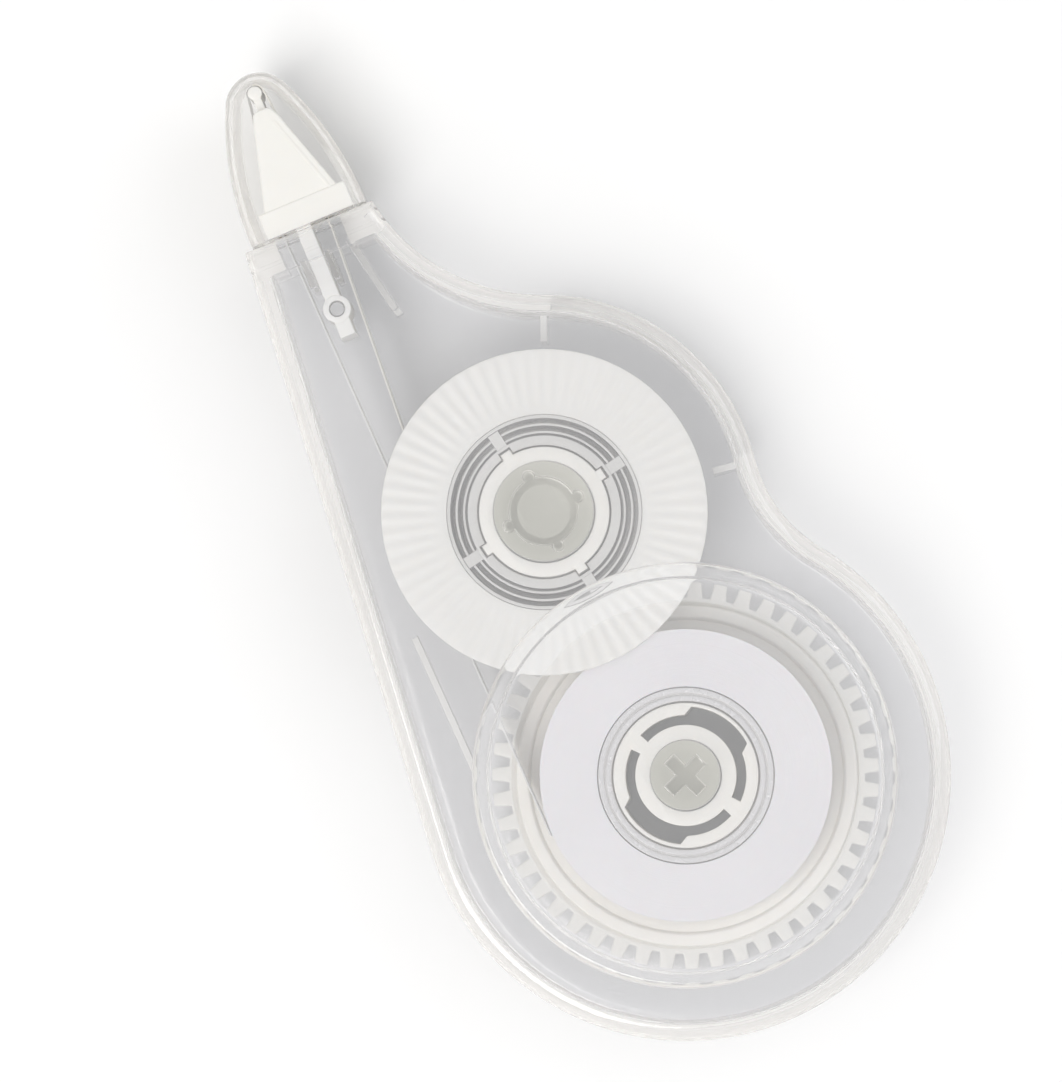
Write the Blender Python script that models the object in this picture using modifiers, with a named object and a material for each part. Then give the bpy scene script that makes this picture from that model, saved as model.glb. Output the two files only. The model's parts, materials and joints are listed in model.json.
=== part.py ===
"""Correction tape roller: a clear two-shell dispenser with two geared reels, a white head and a pull-off cap.

The origin is on the supply reel's axis at the underside. +X runs from the tip to the big round end, +Y to the
take-up reel's bulge and +Z out of the front face. Dimensions are millimetres and are scaled to metres once,
where each mesh or curve is made.
"""

import math

import bmesh
import bpy
from mathutils import Matrix, Vector

MM = 0.001
SHARP = math.radians(35.0)

# Reels: the two axes, and the heights of the layers stacked on them
SUPPLY = Vector((0.0, 0.0))
TAKE_UP = Vector((-24.4, 2.26))
GEAR_MODULE = 0.6622
SUPPLY_TEETH = 47
TAKE_UP_TEETH = 27
BACKLASH = 0.24
DEDENDUM = 1.25
TIP_SHARE, ROOT_FLARE = 0.42, 0.42
GEAR_BOTTOM, GEAR_TOP = 1.7, 3.2
HUB_BOTTOM = 1.6
TAPE_LOW, TAPE_HIGH = 3.8, 8.8
ROLL_RADIUS = 12.0
FLANGE_LOW, FLANGE_HIGH = 9.2, 9.9
FLANGE_RADIUS = 13.4

# Supply reel: the hub's sleeve and spring pads, the raised rim, the core and the roll
HUB_TURN = 23.0
SLEEVE_RADIUS = 4.15
PAD_INSIDE, PAD_OUTSIDE = 4.95, 5.65
HUB_RADIUS = 5.95
BRIDGE_HALF_ANGLE, PAD_HALF_ANGLE, PAD_SLANT = 8.0, 57.0, 4.0
RIM_INSIDE, RIM_OUTSIDE, RIM_TOP = 12.7, 14.1, 3.65
CORE_INSIDE, CORE_OUTSIDE, CORE_LOW = 6.1, 7.2, 3.5
ROLL_INSIDE = 7.3

# Take-up reel: the keyed sleeve and the spool's two walls with the groove between them
KEY_BASE, KEY_TIP, KEY_HALF_WIDTH = 5.35, 5.85, 0.45
KEY_CLEARANCE = 0.15
SPOOL_LOW = 3.6
INNER_WALL = 6.5
GROOVE_INSIDE, GROOVE_OUTSIDE, GROOVE_FLOOR = 6.3, 7.3, 4.4
SPOOL_CORE = 8.0
COIL_INSIDE, COIL_OUTSIDE = 8.1, 8.6

# Body: outline radii, wall and the heights of the floor, the parting line and the roof
END_RADIUS = 21.7
BULGE_RADIUS = 17.8
SADDLE_RADIUS = 12.0
NECK_RADIUS = 16.4
NECK_LOW_Y = 4.6
CORNER_T = -5.7
WALL = 1.3
RIM_ROUND = 1.3
FLOOR = 1.2
PARTING = 6.3
PARTING_GAP = 0.06
ROOF_INSIDE, ROOF_OUTSIDE = 11.2, 12.4
DRUM_INSIDE_RADIUS, DRUM_RADIUS = 16.3, 17.4
DRUM_INSIDE, DRUM_OUTSIDE = 11.8, 13.0
DRUM_ROUND = 0.45
FLAP_FROM, FLAP_TO = 73.0, 145.0
FLAP_SLIT = 0.35
FLAP_SILL = 2.3
FLAP_RIB_ASIDE, FLAP_RIB_FROM, FLAP_RIB_TO, FLAP_RIB_TOP = 2.2, 14.2, 17.2, 6.2
GROOVES = (-0.95, -2.0)
GROOVE_WIDTH, GROOVE_DEPTH = 0.3, 0.25
MOUTH_LOW, MOUTH_HIGH = 3.2, 9.4
MOUTH_SIDES = (-3.1, 2.6)
EMBED = 0.4

# Posts that carry the reels, and the pins that close them
SUPPLY_POST, SUPPLY_POST_BORE = 2.85, 2.1
TAKE_UP_POST, TAKE_UP_POST_BORE = 4.1, 3.5
POST_TOP = 10.7
PIN_REACH = 5.0
POST_STEP, POST_STEP_TOP = 1.1, 1.5
CROSS_ARM, CROSS_HALF_WIDTH, CROSS_TURN = 1.9, 0.6, 12.0
TUBE_INSIDE, TUBE_OUTSIDE = 2.2, 2.75
LUG_AT, LUG_RADIUS, LUG_TURN = 2.9, 0.42, -10.0
RUNNING_GAP = 0.1

# Head and cap: s runs out along the head's axis from the collar's face, t runs across it
HEAD_FOOT = Vector((-54.6, -0.9))
HEAD_TILT = math.radians(11.0)
COLLAR = 2.6
HEAD_LOW, HEAD_HIGH = 2.55, 10.05
CHEEK = 1.0
NOSE_END = 10.5
BEAD_AT, BEAD_RADIUS = 12.1, 0.6
TONGUE_HALF, NECK_HALF = 0.42, 0.34
FOOT_SIDES = (-3.55, 4.0)
STEM_LENGTH = 9.4
STEM_SIDES = (-1.15, 0.15)
STEM_LOW, STEM_HIGH = 3.5, 9.1
PEG_AT, PEG_RADIUS, PEG_TOP = (-7.0, -0.5), 0.6, 8.6
BOSS_RADIUS = 1.15
FEED_SLOT, LINER_SLOT = (-2.8, -2.05), (1.45, 2.15)
SLOT_ENDS = (-1.0, 3.4)
FEED_GUIDE = (1.4, -2.35)
LINER_GUIDE = (1.4, 1.75)
CAP_BACK, CAP_TIP, CAP_SPARE = 0.25, 13.7, 3.0
CAP_HALF_WIDTH, CAP_SIDE_RADIUS = 5.05, 26.0
CAP_LOW, CAP_HIGH = 1.4, 11.2
CAP_WALL = 0.55
CAP_ROUND = 1.5
CAP_SHOULDER = 1.0
CAP_TAPER = 0.008

# Ribs inside the casing
RIB = 0.6
RIB_FROM, RIB_TOP = 0.8, 3.3
ROOF_RIB_FROM = 9.3
STEM_RIB, STEM_RIB_GAP = 0.52, 0.12
STEM_RIB_END, STEM_RIB_TOP = -4.8, 5.0
LINER_RIB = (Vector((-52.0, 1.25)), Vector((-45.0, 1.25)))
TAPE_RAIL = (Vector((-22.0, -12.5)), Vector((-9.6, -14.5)))

# Reach of a cutting block, well past the body on every side
FAR = 80.0

TAPE_THICKNESS = 0.1
TAPE_CLEARANCE = 0.15


# ---------------------------------------------------------------- flat geometry

def head_point(s, t):
    """Place a point given along and across the head's tilted axis."""
    along = Vector((-math.cos(HEAD_TILT), math.sin(HEAD_TILT)))
    across = Vector((math.sin(HEAD_TILT), math.cos(HEAD_TILT)))
    return HEAD_FOOT + along * s + across * t


def polar(centre, radius, degrees):
    angle = math.radians(degrees)
    return centre + Vector((math.cos(angle), math.sin(angle))) * radius


def arc(centre, radius, start, end, step=6.0):
    """Points along an arc, both ends included; start and end are in degrees."""
    count = max(2, math.ceil(abs(end - start) / step))
    return [polar(centre, radius, start + (end - start) * i / count) for i in range(count + 1)]


def circle(centre, radius, sides=64):
    return [polar(centre, radius, 360.0 * i / sides) for i in range(sides)]


def bearing(origin, target):
    delta = target - origin
    return math.degrees(math.atan2(delta.y, delta.x))


def sector(centre, inner, outer, start, end, step=6.0):
    return arc(centre, inner, start, end, step) + arc(centre, outer, end, start, step)


def cross_outline(arm, half_width, turn):
    """A plus sign about the supply axis, turned by some degrees."""
    reach = math.hypot(arm, half_width)
    lean = math.degrees(math.atan2(half_width, arm))
    corner = half_width * math.sqrt(2.0)
    points = []
    for quarter in range(4):
        middle = turn + 90.0 * quarter
        points += [polar(SUPPLY, reach, middle - lean), polar(SUPPLY, reach, middle + lean),
                   polar(SUPPLY, corner, middle + 45.0)]
    return points


def head_box(s_from, s_to, t_from, t_to):
    corners = ((s_from, t_from), (s_to, t_from), (s_to, t_to), (s_from, t_to))
    return [head_point(s, t) for s, t in corners]


def cross_line(origin, direction, point, heading):
    """Where the line through origin meets the line through point."""
    delta = point - origin
    along = (delta.x * heading.y - delta.y * heading.x) / (direction.x * heading.y - direction.y * heading.x)
    return origin + direction * along


def tangent_touch(point, centre, radius, side):
    """The touching point on a circle of a line from point; side is +1 for left of the line, -1 for right."""
    delta = centre - point
    lean = math.asin(radius / delta.length)
    heading = math.atan2(delta.y, delta.x) + side * lean
    reach = math.sqrt(delta.length_squared - radius ** 2)
    return point + Vector((math.cos(heading), math.sin(heading))) * reach


def body_outline(inset, front, step=6.0):
    """The body's outline, moved in by inset and ended at s = front on the head's axis."""
    saddle_reach = (END_RADIUS + SADDLE_RADIUS, BULGE_RADIUS + SADDLE_RADIUS)
    span = (TAKE_UP - SUPPLY).length
    along = (span ** 2 + saddle_reach[0] ** 2 - saddle_reach[1] ** 2) / (2 * span)
    across = math.sqrt(saddle_reach[0] ** 2 - along ** 2)
    unit = (TAKE_UP - SUPPLY) / span
    saddle = SUPPLY + unit * along + Vector((unit.y, -unit.x)) * across

    neck_y = NECK_LOW_Y + NECK_RADIUS
    neck_reach = math.sqrt((BULGE_RADIUS + NECK_RADIUS) ** 2 - (neck_y - TAKE_UP.y) ** 2)
    neck = Vector((TAKE_UP.x - neck_reach, neck_y))

    corner = head_point(0.0, CORNER_T)
    low_touch = tangent_touch(corner, SUPPLY, END_RADIUS, -1)
    edge = (low_touch - corner).normalized()
    low_angle = bearing(SUPPLY, low_touch)
    inner_corner = corner + Vector((-edge.y, edge.x)) * inset
    front_point = head_point(front, 0.0)
    front_line = head_point(front, 1.0) - front_point

    points = [cross_line(inner_corner, edge, front_point, front_line)]
    points += arc(SUPPLY, END_RADIUS - inset, low_angle, bearing(SUPPLY, saddle), step)
    dip = arc(saddle, SADDLE_RADIUS + inset, bearing(saddle, SUPPLY), bearing(saddle, TAKE_UP), step)
    points += dip[1:-1]
    points += arc(TAKE_UP, BULGE_RADIUS - inset, bearing(TAKE_UP, saddle), bearing(TAKE_UP, neck), step)
    points += arc(neck, NECK_RADIUS + inset, bearing(neck, TAKE_UP), -90.0, step)[1:]
    level = Vector((0.0, NECK_LOW_Y - inset))
    points.append(cross_line(level, Vector((1.0, 0.0)), front_point, front_line))
    return points


def gear_outline(centre, teeth, phase):
    """Straight-flanked teeth at the pitch and depth of the module; phase is the angle of one tooth."""
    pitch = GEAR_MODULE * teeth / 2
    tip, root = pitch + GEAR_MODULE, pitch - DEDENDUM * GEAR_MODULE
    half = (math.pi * GEAR_MODULE / 2 - BACKLASH) / 2
    shape = ((root, half + ROOT_FLARE), (pitch, half), (tip, half * TIP_SHARE))
    points = []
    for tooth in range(teeth):
        middle = phase + 360.0 * tooth / teeth
        for radius, width in shape:
            points.append(polar(centre, radius, middle - math.degrees(width / radius)))
        for radius, width in reversed(shape):
            points.append(polar(centre, radius, middle + math.degrees(width / radius)))
    return points


def cap_outline(inset, back):
    """A bullet in plan: two long side arcs run into a round nose."""
    reach = CAP_TIP - CAP_SHOULDER
    drop = CAP_SIDE_RADIUS - CAP_HALF_WIDTH
    nose = (CAP_SIDE_RADIUS ** 2 - drop ** 2 - reach ** 2) / (2 * (CAP_SIDE_RADIUS - reach))
    nose_at = Vector((CAP_TIP - nose, 0.0))
    side_centre = Vector((CAP_SHOULDER, -drop))
    join = bearing(side_centre, nose_at)
    half = arc(side_centre, CAP_SIDE_RADIUS - inset, 90.0, join, 4.0)
    half += arc(nose_at, nose - inset, join, 0.0, 15.0)[1:]
    side = [(back, half[0].y)] + [(p.x, p.y) for p in half]
    mirrored = [(s, -t) for s, t in reversed(side[:-1])]
    return [head_point(s, t) for s, t in side + mirrored]


def ribbon(path, thickness):
    """The outline of a strip that follows a path."""
    left, right = [], []
    for i, point in enumerate(path):
        before = path[max(i - 1, 0)]
        after = path[min(i + 1, len(path) - 1)]
        heading = (after - before).normalized()
        normal = Vector((-heading.y, heading.x)) * thickness / 2
        left.append(point + normal)
        right.append(point - normal)
    return left + right[::-1]


# ---------------------------------------------------------------- solids

def new_collection(name):
    collection = bpy.data.collections.new(name)
    bpy.context.scene.collection.children.link(collection)
    return collection


def settle(obj):
    """Replace an object by a mesh of its evaluated shape, welded and facing outwards."""
    graph = bpy.context.evaluated_depsgraph_get()
    mesh = bpy.data.meshes.new_from_object(obj.evaluated_get(graph))
    welded = bmesh.new()
    welded.from_mesh(mesh)
    bmesh.ops.remove_doubles(welded, verts=welded.verts, dist=1e-6)
    if welded.calc_volume(signed=True) < 0.0:
        bmesh.ops.reverse_faces(welded, faces=welded.faces)
    welded.to_mesh(mesh)
    welded.free()
    solid = bpy.data.objects.new(obj.name, mesh)
    solid.matrix_world = obj.matrix_world
    parts.objects.link(solid)
    name = obj.name
    bpy.data.objects.remove(obj, do_unlink=True)
    solid.name = name
    return solid


def plate(name, loops, low, high):
    """A flat solid between two heights; every loop after the first is a hole."""
    curve = bpy.data.curves.new(name, "CURVE")
    curve.dimensions = "2D"
    curve.fill_mode = "BOTH"
    curve.extrude = (high - low) / 2 * MM
    for loop in loops:
        spline = curve.splines.new("POLY")
        spline.points.add(len(loop) - 1)
        spline.use_cyclic_u = True
        for knot, point in zip(spline.points, loop):
            knot.co = (point.x * MM, point.y * MM, 0.0, 1.0)
    obj = bpy.data.objects.new(name, curve)
    parts.objects.link(obj)
    obj.location.z = (low + high) / 2 * MM
    bpy.context.view_layer.update()
    return settle(obj)


def turned(name, centre, profile, steps=72):
    """A closed profile of (radius, height) points, turned about an upright axis."""
    mesh = bpy.data.meshes.new(name)
    drawn = bmesh.new()
    verts = [drawn.verts.new((radius * MM, 0.0, height * MM)) for radius, height in profile]
    for start, end in zip(verts, verts[1:] + verts[:1]):
        drawn.edges.new((start, end))
    drawn.to_mesh(mesh)
    drawn.free()
    obj = bpy.data.objects.new(name, mesh)
    parts.objects.link(obj)
    screw = obj.modifiers.new("turn", "SCREW")
    screw.axis = "Z"
    screw.steps = screw.render_steps = steps
    screw.use_merge_vertices = True
    screw.merge_threshold = 1e-6
    obj.location = (centre.x * MM, centre.y * MM, 0.0)
    bpy.context.view_layer.update()
    return settle(obj)


def combine(solid, tool, operation):
    """Join or cut one solid by another and remove the tool."""
    boolean = solid.modifiers.new(operation.lower(), "BOOLEAN")
    boolean.object = tool
    boolean.operation = operation
    bpy.context.view_layer.update()
    result = settle(solid)
    bpy.data.objects.remove(tool, do_unlink=True)
    return result


def join(solid, *tools):
    for tool in tools:
        solid = combine(solid, tool, "UNION")
    return solid


def cut(solid, *tools):
    for tool in tools:
        solid = combine(solid, tool, "DIFFERENCE")
    return solid


def round_rims(solid, radius, segments, heights):
    """Round the edges that lie at the given heights, each flat cap first made one face."""
    mesh = bmesh.new()
    mesh.from_mesh(solid.data)
    bmesh.ops.dissolve_limit(mesh, angle_limit=0.01, verts=mesh.verts, edges=mesh.edges)
    lift = solid.location.z
    levels = [height * MM - lift for height in heights]
    rims = [edge for edge in mesh.edges
            if any(all(abs(v.co.z - level) < 1e-6 for v in edge.verts) for level in levels)
            and edge.calc_face_angle(0.0) > 1.0]
    bmesh.ops.bevel(mesh, geom=rims, offset=radius * MM, segments=segments, profile=0.5, affect="EDGES")
    mesh.to_mesh(solid.data)
    mesh.free()
    return solid


def slim_towards_nose(solid, rate):
    """Thin a solid about the tape's mid-height as it runs out along the head's axis."""
    middle = (TAPE_LOW + TAPE_HIGH) / 2 * MM
    foot, ahead = head_point(0.0, 0.0), head_point(1.0, 0.0) - HEAD_FOOT
    lift = solid.location.z
    for vertex in solid.data.vertices:
        reach = (Vector((vertex.co.x, vertex.co.y)) / MM - foot).dot(ahead)
        vertex.co.z = middle + (vertex.co.z + lift - middle) * (1.0 - rate * reach) - lift
    return solid


def finish(solid, name, finish_name, axis=SUPPLY):
    """Name and shade a finished part, and put its origin on an upright axis at the underside."""
    origin = Vector((axis.x * MM, axis.y * MM, 0.0))
    solid.data.transform(Matrix.Translation(solid.location - origin))
    solid.location = origin
    solid.name = name
    solid.data.name = name
    solid.data.materials.clear()
    solid.data.materials.append(MATERIALS[finish_name])
    solid.data.shade_smooth()
    solid.data.set_sharp_from_angle(angle=SHARP)
    return solid


def material(name, colour, roughness, alpha=1.0):
    made = bpy.data.materials.new(name)
    made.use_nodes = True
    shader = made.node_tree.nodes["Principled BSDF"]
    shader.inputs["Base Color"].default_value = (*colour, 1.0)
    shader.inputs["Roughness"].default_value = roughness
    shader.inputs["Metallic"].default_value = 0.0
    shader.inputs["Alpha"].default_value = alpha
    return made


# ---------------------------------------------------------------- casing

def block(name, low, high):
    """A slab wider than the body, for parting the two shells."""
    return plate(name, [head_box(-FAR, FAR, -FAR, FAR)], low, high)


def body_shape(name, with_drum):
    """The whole casing as a hollow body with its collar, before it is parted into two shells."""
    shape = plate(name, [body_outline(0.0, 0.0)], 0.0, ROOF_OUTSIDE)
    round_rims(shape, RIM_ROUND, 3, (0.0, ROOF_OUTSIDE))
    if with_drum:
        drum = plate(name + "_drum", [circle(SUPPLY, DRUM_RADIUS, 72)], ROOF_INSIDE, DRUM_OUTSIDE)
        shape = join(shape, round_rims(drum, DRUM_ROUND, 2, (DRUM_OUTSIDE,)))
    tools = [collar_groove(name + f"_groove_{i}", s) for i, s in enumerate(GROOVES)]
    hollow = plate(name + "_hollow", [body_outline(WALL, 1.0)], FLOOR, ROOF_INSIDE)
    hollow = round_rims(hollow, WALL * 0.4, 1, (FLOOR, ROOF_INSIDE))
    collar = plate(name + "_collar", [head_box(-COLLAR, FAR, -FAR, FAR)], 0.0, ROOF_OUTSIDE)
    tools.append(cut(hollow, collar))
    if with_drum:
        inside = circle(SUPPLY, DRUM_INSIDE_RADIUS, 72)
        tools.append(plate(name + "_drum_hollow", [inside], PARTING, DRUM_INSIDE))
    mouth = head_box(-COLLAR - 2.0, 2.0, *MOUTH_SIDES)
    tools.append(plate(name + "_mouth", [mouth], MOUTH_LOW, MOUTH_HIGH))
    return cut(shape, *tools)


def collar_groove(name, s):
    """A shallow ring cut round the collar."""
    ring = plate(name, [head_box(s, s + GROOVE_WIDTH, -FAR, FAR)], -1.0, ROOF_OUTSIDE + 1.0)
    core = [body_outline(GROOVE_DEPTH, 1.0)]
    return cut(ring, plate(name + "_core", core, GROOVE_DEPTH, ROOF_OUTSIDE - GROOVE_DEPTH))


def flap_sector(spread, grow=0.0):
    """The stretch of the bulge's wall that the flap takes up, with some degrees added at each end."""
    inner, outer = BULGE_RADIUS - 1.4 * WALL - grow, BULGE_RADIUS + WALL + grow
    return sector(TAKE_UP, inner, outer, FLAP_FROM - spread, FLAP_TO + spread)


def post(name, centre, radius, bore):
    """A hollow post with a step under the reel, rising from the floor."""
    foot = radius + POST_STEP
    profile = [(radius, POST_TOP), (radius, POST_STEP_TOP), (foot, POST_STEP_TOP), (foot, RIB_FROM),
               (bore, RIB_FROM), (bore, POST_TOP)]
    return turned(name, centre, profile, 48)


def lower_shell():
    """Back half: floor, wall up to the parting line, two reel posts, the head's peg and the ribs."""
    shell = body_shape("lower", with_drum=False)
    flap_gap = plate("flap_gap", [flap_sector(FLAP_SLIT)], FLAP_SILL, PARTING + 1.0)
    shell = cut(shell, block("above", PARTING, ROOF_OUTSIDE + 2.0), flap_gap)
    shell = join(shell, post("supply_post", SUPPLY, SUPPLY_POST, SUPPLY_POST_BORE),
                 post("take_up_post", TAKE_UP, TAKE_UP_POST, TAKE_UP_POST_BORE))
    peg = plate("peg", [circle(head_point(*PEG_AT), PEG_RADIUS, 20)], RIB_FROM, PEG_TOP)
    rail = plate("tape_rail", [ribbon(TAPE_RAIL, RIB)], RIB_FROM, RIB_TOP)
    shell = join(shell, peg, rail, *neck_ribs("lower", RIB_FROM, RIB_TOP, STEM_RIB_TOP))
    for degrees in (FLAP_FROM - FLAP_RIB_ASIDE, FLAP_TO + FLAP_RIB_ASIDE):
        ends = [polar(TAKE_UP, radius, degrees) for radius in (FLAP_RIB_FROM, FLAP_RIB_TO)]
        shell = join(shell, plate("flap_rib", [ribbon(ends, RIB)], RIB_FROM, FLAP_RIB_TOP))
    return finish(shell, "lower_shell", "clear")


def neck_ribs(name, low, high, stem_high):
    """A rib on each side of the head's stem and one beside the liner's way back."""
    ends = (STEM_RIB_END, EMBED - COLLAR)
    above, below = STEM_SIDES[1] + STEM_RIB_GAP, STEM_SIDES[0] - STEM_RIB_GAP
    return [plate(name + "_rib_above", [head_box(*ends, above, above + STEM_RIB)], low, stem_high),
            plate(name + "_rib_below", [head_box(*ends, below - STEM_RIB, below)], low, stem_high),
            plate(name + "_liner_rib", [ribbon(LINER_RIB, RIB)], low, high)]


def upper_shell():
    """Front half: raised drum, wall down to the parting line, the bulge's deep flap and the post pins."""
    shell = body_shape("upper", with_drum=True)
    around = head_box(-FAR, FAR, -FAR, FAR)
    below = plate("below", [around, flap_sector(0.0)], -1.0, PARTING + PARTING_GAP)
    below_flap = plate("below_flap", [flap_sector(4.0, 1.0)], -1.0, FLAP_SILL + PARTING_GAP)
    shell = cut(shell, below, below_flap)
    cross = cross_outline(CROSS_ARM, CROSS_HALF_WIDTH, CROSS_TURN)
    into_roof = ROOF_INSIDE + EMBED
    tube = [(TUBE_OUTSIDE, into_roof), (TUBE_OUTSIDE, PIN_REACH),
            (TUBE_INSIDE, PIN_REACH), (TUBE_INSIDE, into_roof)]
    shell = join(shell, plate("cross_pin", [cross], PIN_REACH, DRUM_INSIDE + EMBED),
                 turned("tube_pin", TAKE_UP, tube, 40))
    for quarter in range(4):
        lug = circle(polar(TAKE_UP, LUG_AT, 90.0 * quarter + LUG_TURN), LUG_RADIUS, 12)
        shell = join(shell, plate("lug", [lug], PIN_REACH + 0.3, ROOF_INSIDE + 0.3))
    shell = join(shell, *neck_ribs("upper", ROOF_RIB_FROM, into_roof, into_roof))
    return finish(shell, "upper_shell", "clear")


def tip_cap():
    """Clear bullet-shaped cap, cut off square at the back, where it is open."""
    cap = plate("cap", [cap_outline(0.0, CAP_BACK - CAP_SPARE)], CAP_LOW, CAP_HIGH)
    cap = slim_towards_nose(round_rims(cap, CAP_ROUND, 4, (CAP_LOW, CAP_HIGH)), CAP_TAPER)
    low, high = CAP_LOW + CAP_WALL, CAP_HIGH - CAP_WALL
    inside = plate("cap_inside", [cap_outline(CAP_WALL, CAP_BACK - 2.0 * CAP_SPARE)], low, high)
    inside = slim_towards_nose(round_rims(inside, CAP_ROUND - CAP_WALL, 2, (low, high)), CAP_TAPER)
    behind = plate("cap_behind", [head_box(-FAR, CAP_BACK, -FAR, FAR)], 0.0, ROOF_OUTSIDE)
    return finish(cut(cap, inside, behind), "tip_cap", "clear", HEAD_FOOT)


# ---------------------------------------------------------------- head and tape

def head_plate(name, outline, low, high):
    return plate(name, [[head_point(s, t) for s, t in outline]], low, high)


def transfer_head():
    """Two cheeks, the tongue with its pressing bead between them, a slotted foot and the stem."""
    nose = NOSE_END
    wedge = [(0.35, -3.6), (nose - 0.9, -1.05), (nose - 0.2, -0.8), (nose, -0.45), (nose, 0.45),
             (nose - 0.2, 0.8), (nose - 0.9, 1.15), (0.35, 4.1)]
    tongue = [(2.0, -2.0), (nose - 0.3, -TONGUE_HALF), (nose - 0.3, TONGUE_HALF), (2.0, 1.45)]
    neck = head_box(nose - 1.0, BEAD_AT, -NECK_HALF, NECK_HALF)
    bead = circle(head_point(BEAD_AT, 0.0), BEAD_RADIUS, 20)
    peg_at = head_point(*PEG_AT)
    inside = (HEAD_LOW + CHEEK, HEAD_HIGH - CHEEK)

    head = head_plate("head", wedge, HEAD_LOW, HEAD_LOW + CHEEK)
    head = join(head, head_plate("upper_cheek", wedge, HEAD_HIGH - CHEEK, HEAD_HIGH),
                head_plate("tongue", tongue, HEAD_LOW + EMBED, HEAD_HIGH - EMBED),
                plate("neck", [neck], TAPE_LOW - 0.1, TAPE_HIGH + 0.1),
                plate("bead", [bead], TAPE_LOW - 0.15, TAPE_HIGH + 0.15),
                plate("foot", [head_box(0.3, 2.5, *FOOT_SIDES)], HEAD_LOW - 0.15, HEAD_HIGH + 0.15))
    head = cut(head, plate("feed_slot", [head_box(*SLOT_ENDS, *FEED_SLOT)], *inside),
               plate("liner_slot", [head_box(*SLOT_ENDS, *LINER_SLOT)], *inside))
    head = join(head, plate("stem", [head_box(-STEM_LENGTH, 0.9, *STEM_SIDES)], STEM_LOW, STEM_HIGH),
                plate("boss", [circle(peg_at, BOSS_RADIUS, 24)], STEM_LOW - 0.05, STEM_HIGH + 0.05))
    hole = plate("peg_hole", [circle(peg_at, PEG_RADIUS + 0.08, 20)], 0.0, ROOF_OUTSIDE)
    return finish(cut(head, hole), "transfer_head", "white", HEAD_FOOT)


def tape_spans():
    """The coated tape from the roll to the bead, and the bare liner from the bead to the take-up coil."""
    bead = head_point(BEAD_AT, 0.0)
    wrap = BEAD_RADIUS + TAPE_CLEARANCE
    nose = bearing(bead, head_point(BEAD_AT + 1.0, 0.0))
    feed_guide, liner_guide = head_point(*FEED_GUIDE), head_point(*LINER_GUIDE)
    roll_touch = tangent_touch(feed_guide, SUPPLY, ROLL_RADIUS + TAPE_CLEARANCE, -1)
    coil_touch = tangent_touch(liner_guide, TAKE_UP, COIL_OUTSIDE + TAPE_CLEARANCE, -1)
    feed = [roll_touch, feed_guide] + arc(bead, wrap, nose + 97.0, nose + 6.0, 15.0)
    liner = arc(bead, wrap, nose - 6.0, nose - 95.0, 15.0) + [liner_guide, coil_touch]
    for name, path, finish_name in (("feed_tape", feed, "tape"), ("return_liner", liner, "liner")):
        strip = plate(name, [ribbon(path, TAPE_THICKNESS)], TAPE_LOW, TAPE_HIGH)
        finish(strip, name, finish_name)


# ---------------------------------------------------------------- reels

def clutch_slots():
    """Two C-shaped slots that leave a sleeve, two bridges and two spring pads inside a thin ring."""
    narrow, wide = 90.0 - BRIDGE_HALF_ANGLE, 90.0 - PAD_HALF_ANGLE
    slots = []
    for middle in (HUB_TURN + 90.0, HUB_TURN + 270.0):
        slot = arc(SUPPLY, SLEEVE_RADIUS, middle - narrow, middle + narrow)
        slot += arc(SUPPLY, PAD_INSIDE, middle + narrow, middle + wide + PAD_SLANT / 2)
        slot += arc(SUPPLY, PAD_OUTSIDE, middle + wide - PAD_SLANT, middle - wide + PAD_SLANT)
        slot += arc(SUPPLY, PAD_INSIDE, middle - wide - PAD_SLANT / 2, middle - narrow)
        slots.append(slot)
    return slots


def supply_gear():
    """Drive gear with a raised rim round the roll and a slotted hub whose pads press on the core."""
    bore = circle(SUPPLY, SUPPLY_POST + RUNNING_GAP, 48)
    hub = plate("hub", [circle(SUPPLY, HUB_RADIUS), bore, *clutch_slots()], HUB_BOTTOM, TAPE_HIGH + 0.3)
    teeth = gear_outline(SUPPLY, SUPPLY_TEETH, gear_phase())
    wheel = plate("wheel", [teeth, circle(SUPPLY, HUB_RADIUS - 0.15)], GEAR_BOTTOM, GEAR_TOP)
    root, edge = GEAR_TOP - EMBED, RIM_TOP - 0.2
    rim = [(RIM_OUTSIDE, root), (RIM_OUTSIDE, edge), (RIM_OUTSIDE - 0.3, RIM_TOP),
           (RIM_INSIDE + 0.5, RIM_TOP), (RIM_INSIDE, root)]
    return finish(join(wheel, hub, turned("rim", SUPPLY, rim)), "supply_gear", "cream")


def gear_phase():
    """A tooth of the supply gear points at the take-up axis."""
    return bearing(SUPPLY, TAKE_UP)


def supply_roll():
    """The clear core and the tape wound on it."""
    core = [(CORE_OUTSIDE, TAPE_HIGH), (CORE_OUTSIDE, CORE_LOW),
            (CORE_INSIDE, CORE_LOW), (CORE_INSIDE, TAPE_HIGH)]
    finish(turned("core", SUPPLY, core), "supply_core", "clear_core")
    roll = [(ROLL_RADIUS, TAPE_HIGH), (ROLL_RADIUS, TAPE_LOW),
            (ROLL_INSIDE, TAPE_LOW), (ROLL_INSIDE, TAPE_HIGH)]
    finish(turned("roll", SUPPLY, roll), "supply_tape_roll", "tape")


def keyed_circle(radius, key_radius, key_half_width):
    """A circle with four keys that reach out to key_radius."""
    points = []
    for key in range(4):
        middle = 90.0 * key
        inner = math.degrees(math.asin(key_half_width / radius))
        outer = math.degrees(math.asin(key_half_width / key_radius))
        points += [polar(TAKE_UP, radius, middle - inner), polar(TAKE_UP, key_radius, middle - outer),
                   polar(TAKE_UP, key_radius, middle + outer)]
        points += arc(TAKE_UP, radius, middle + inner, middle + 90.0 - inner)[:-1]
    return points


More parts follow.
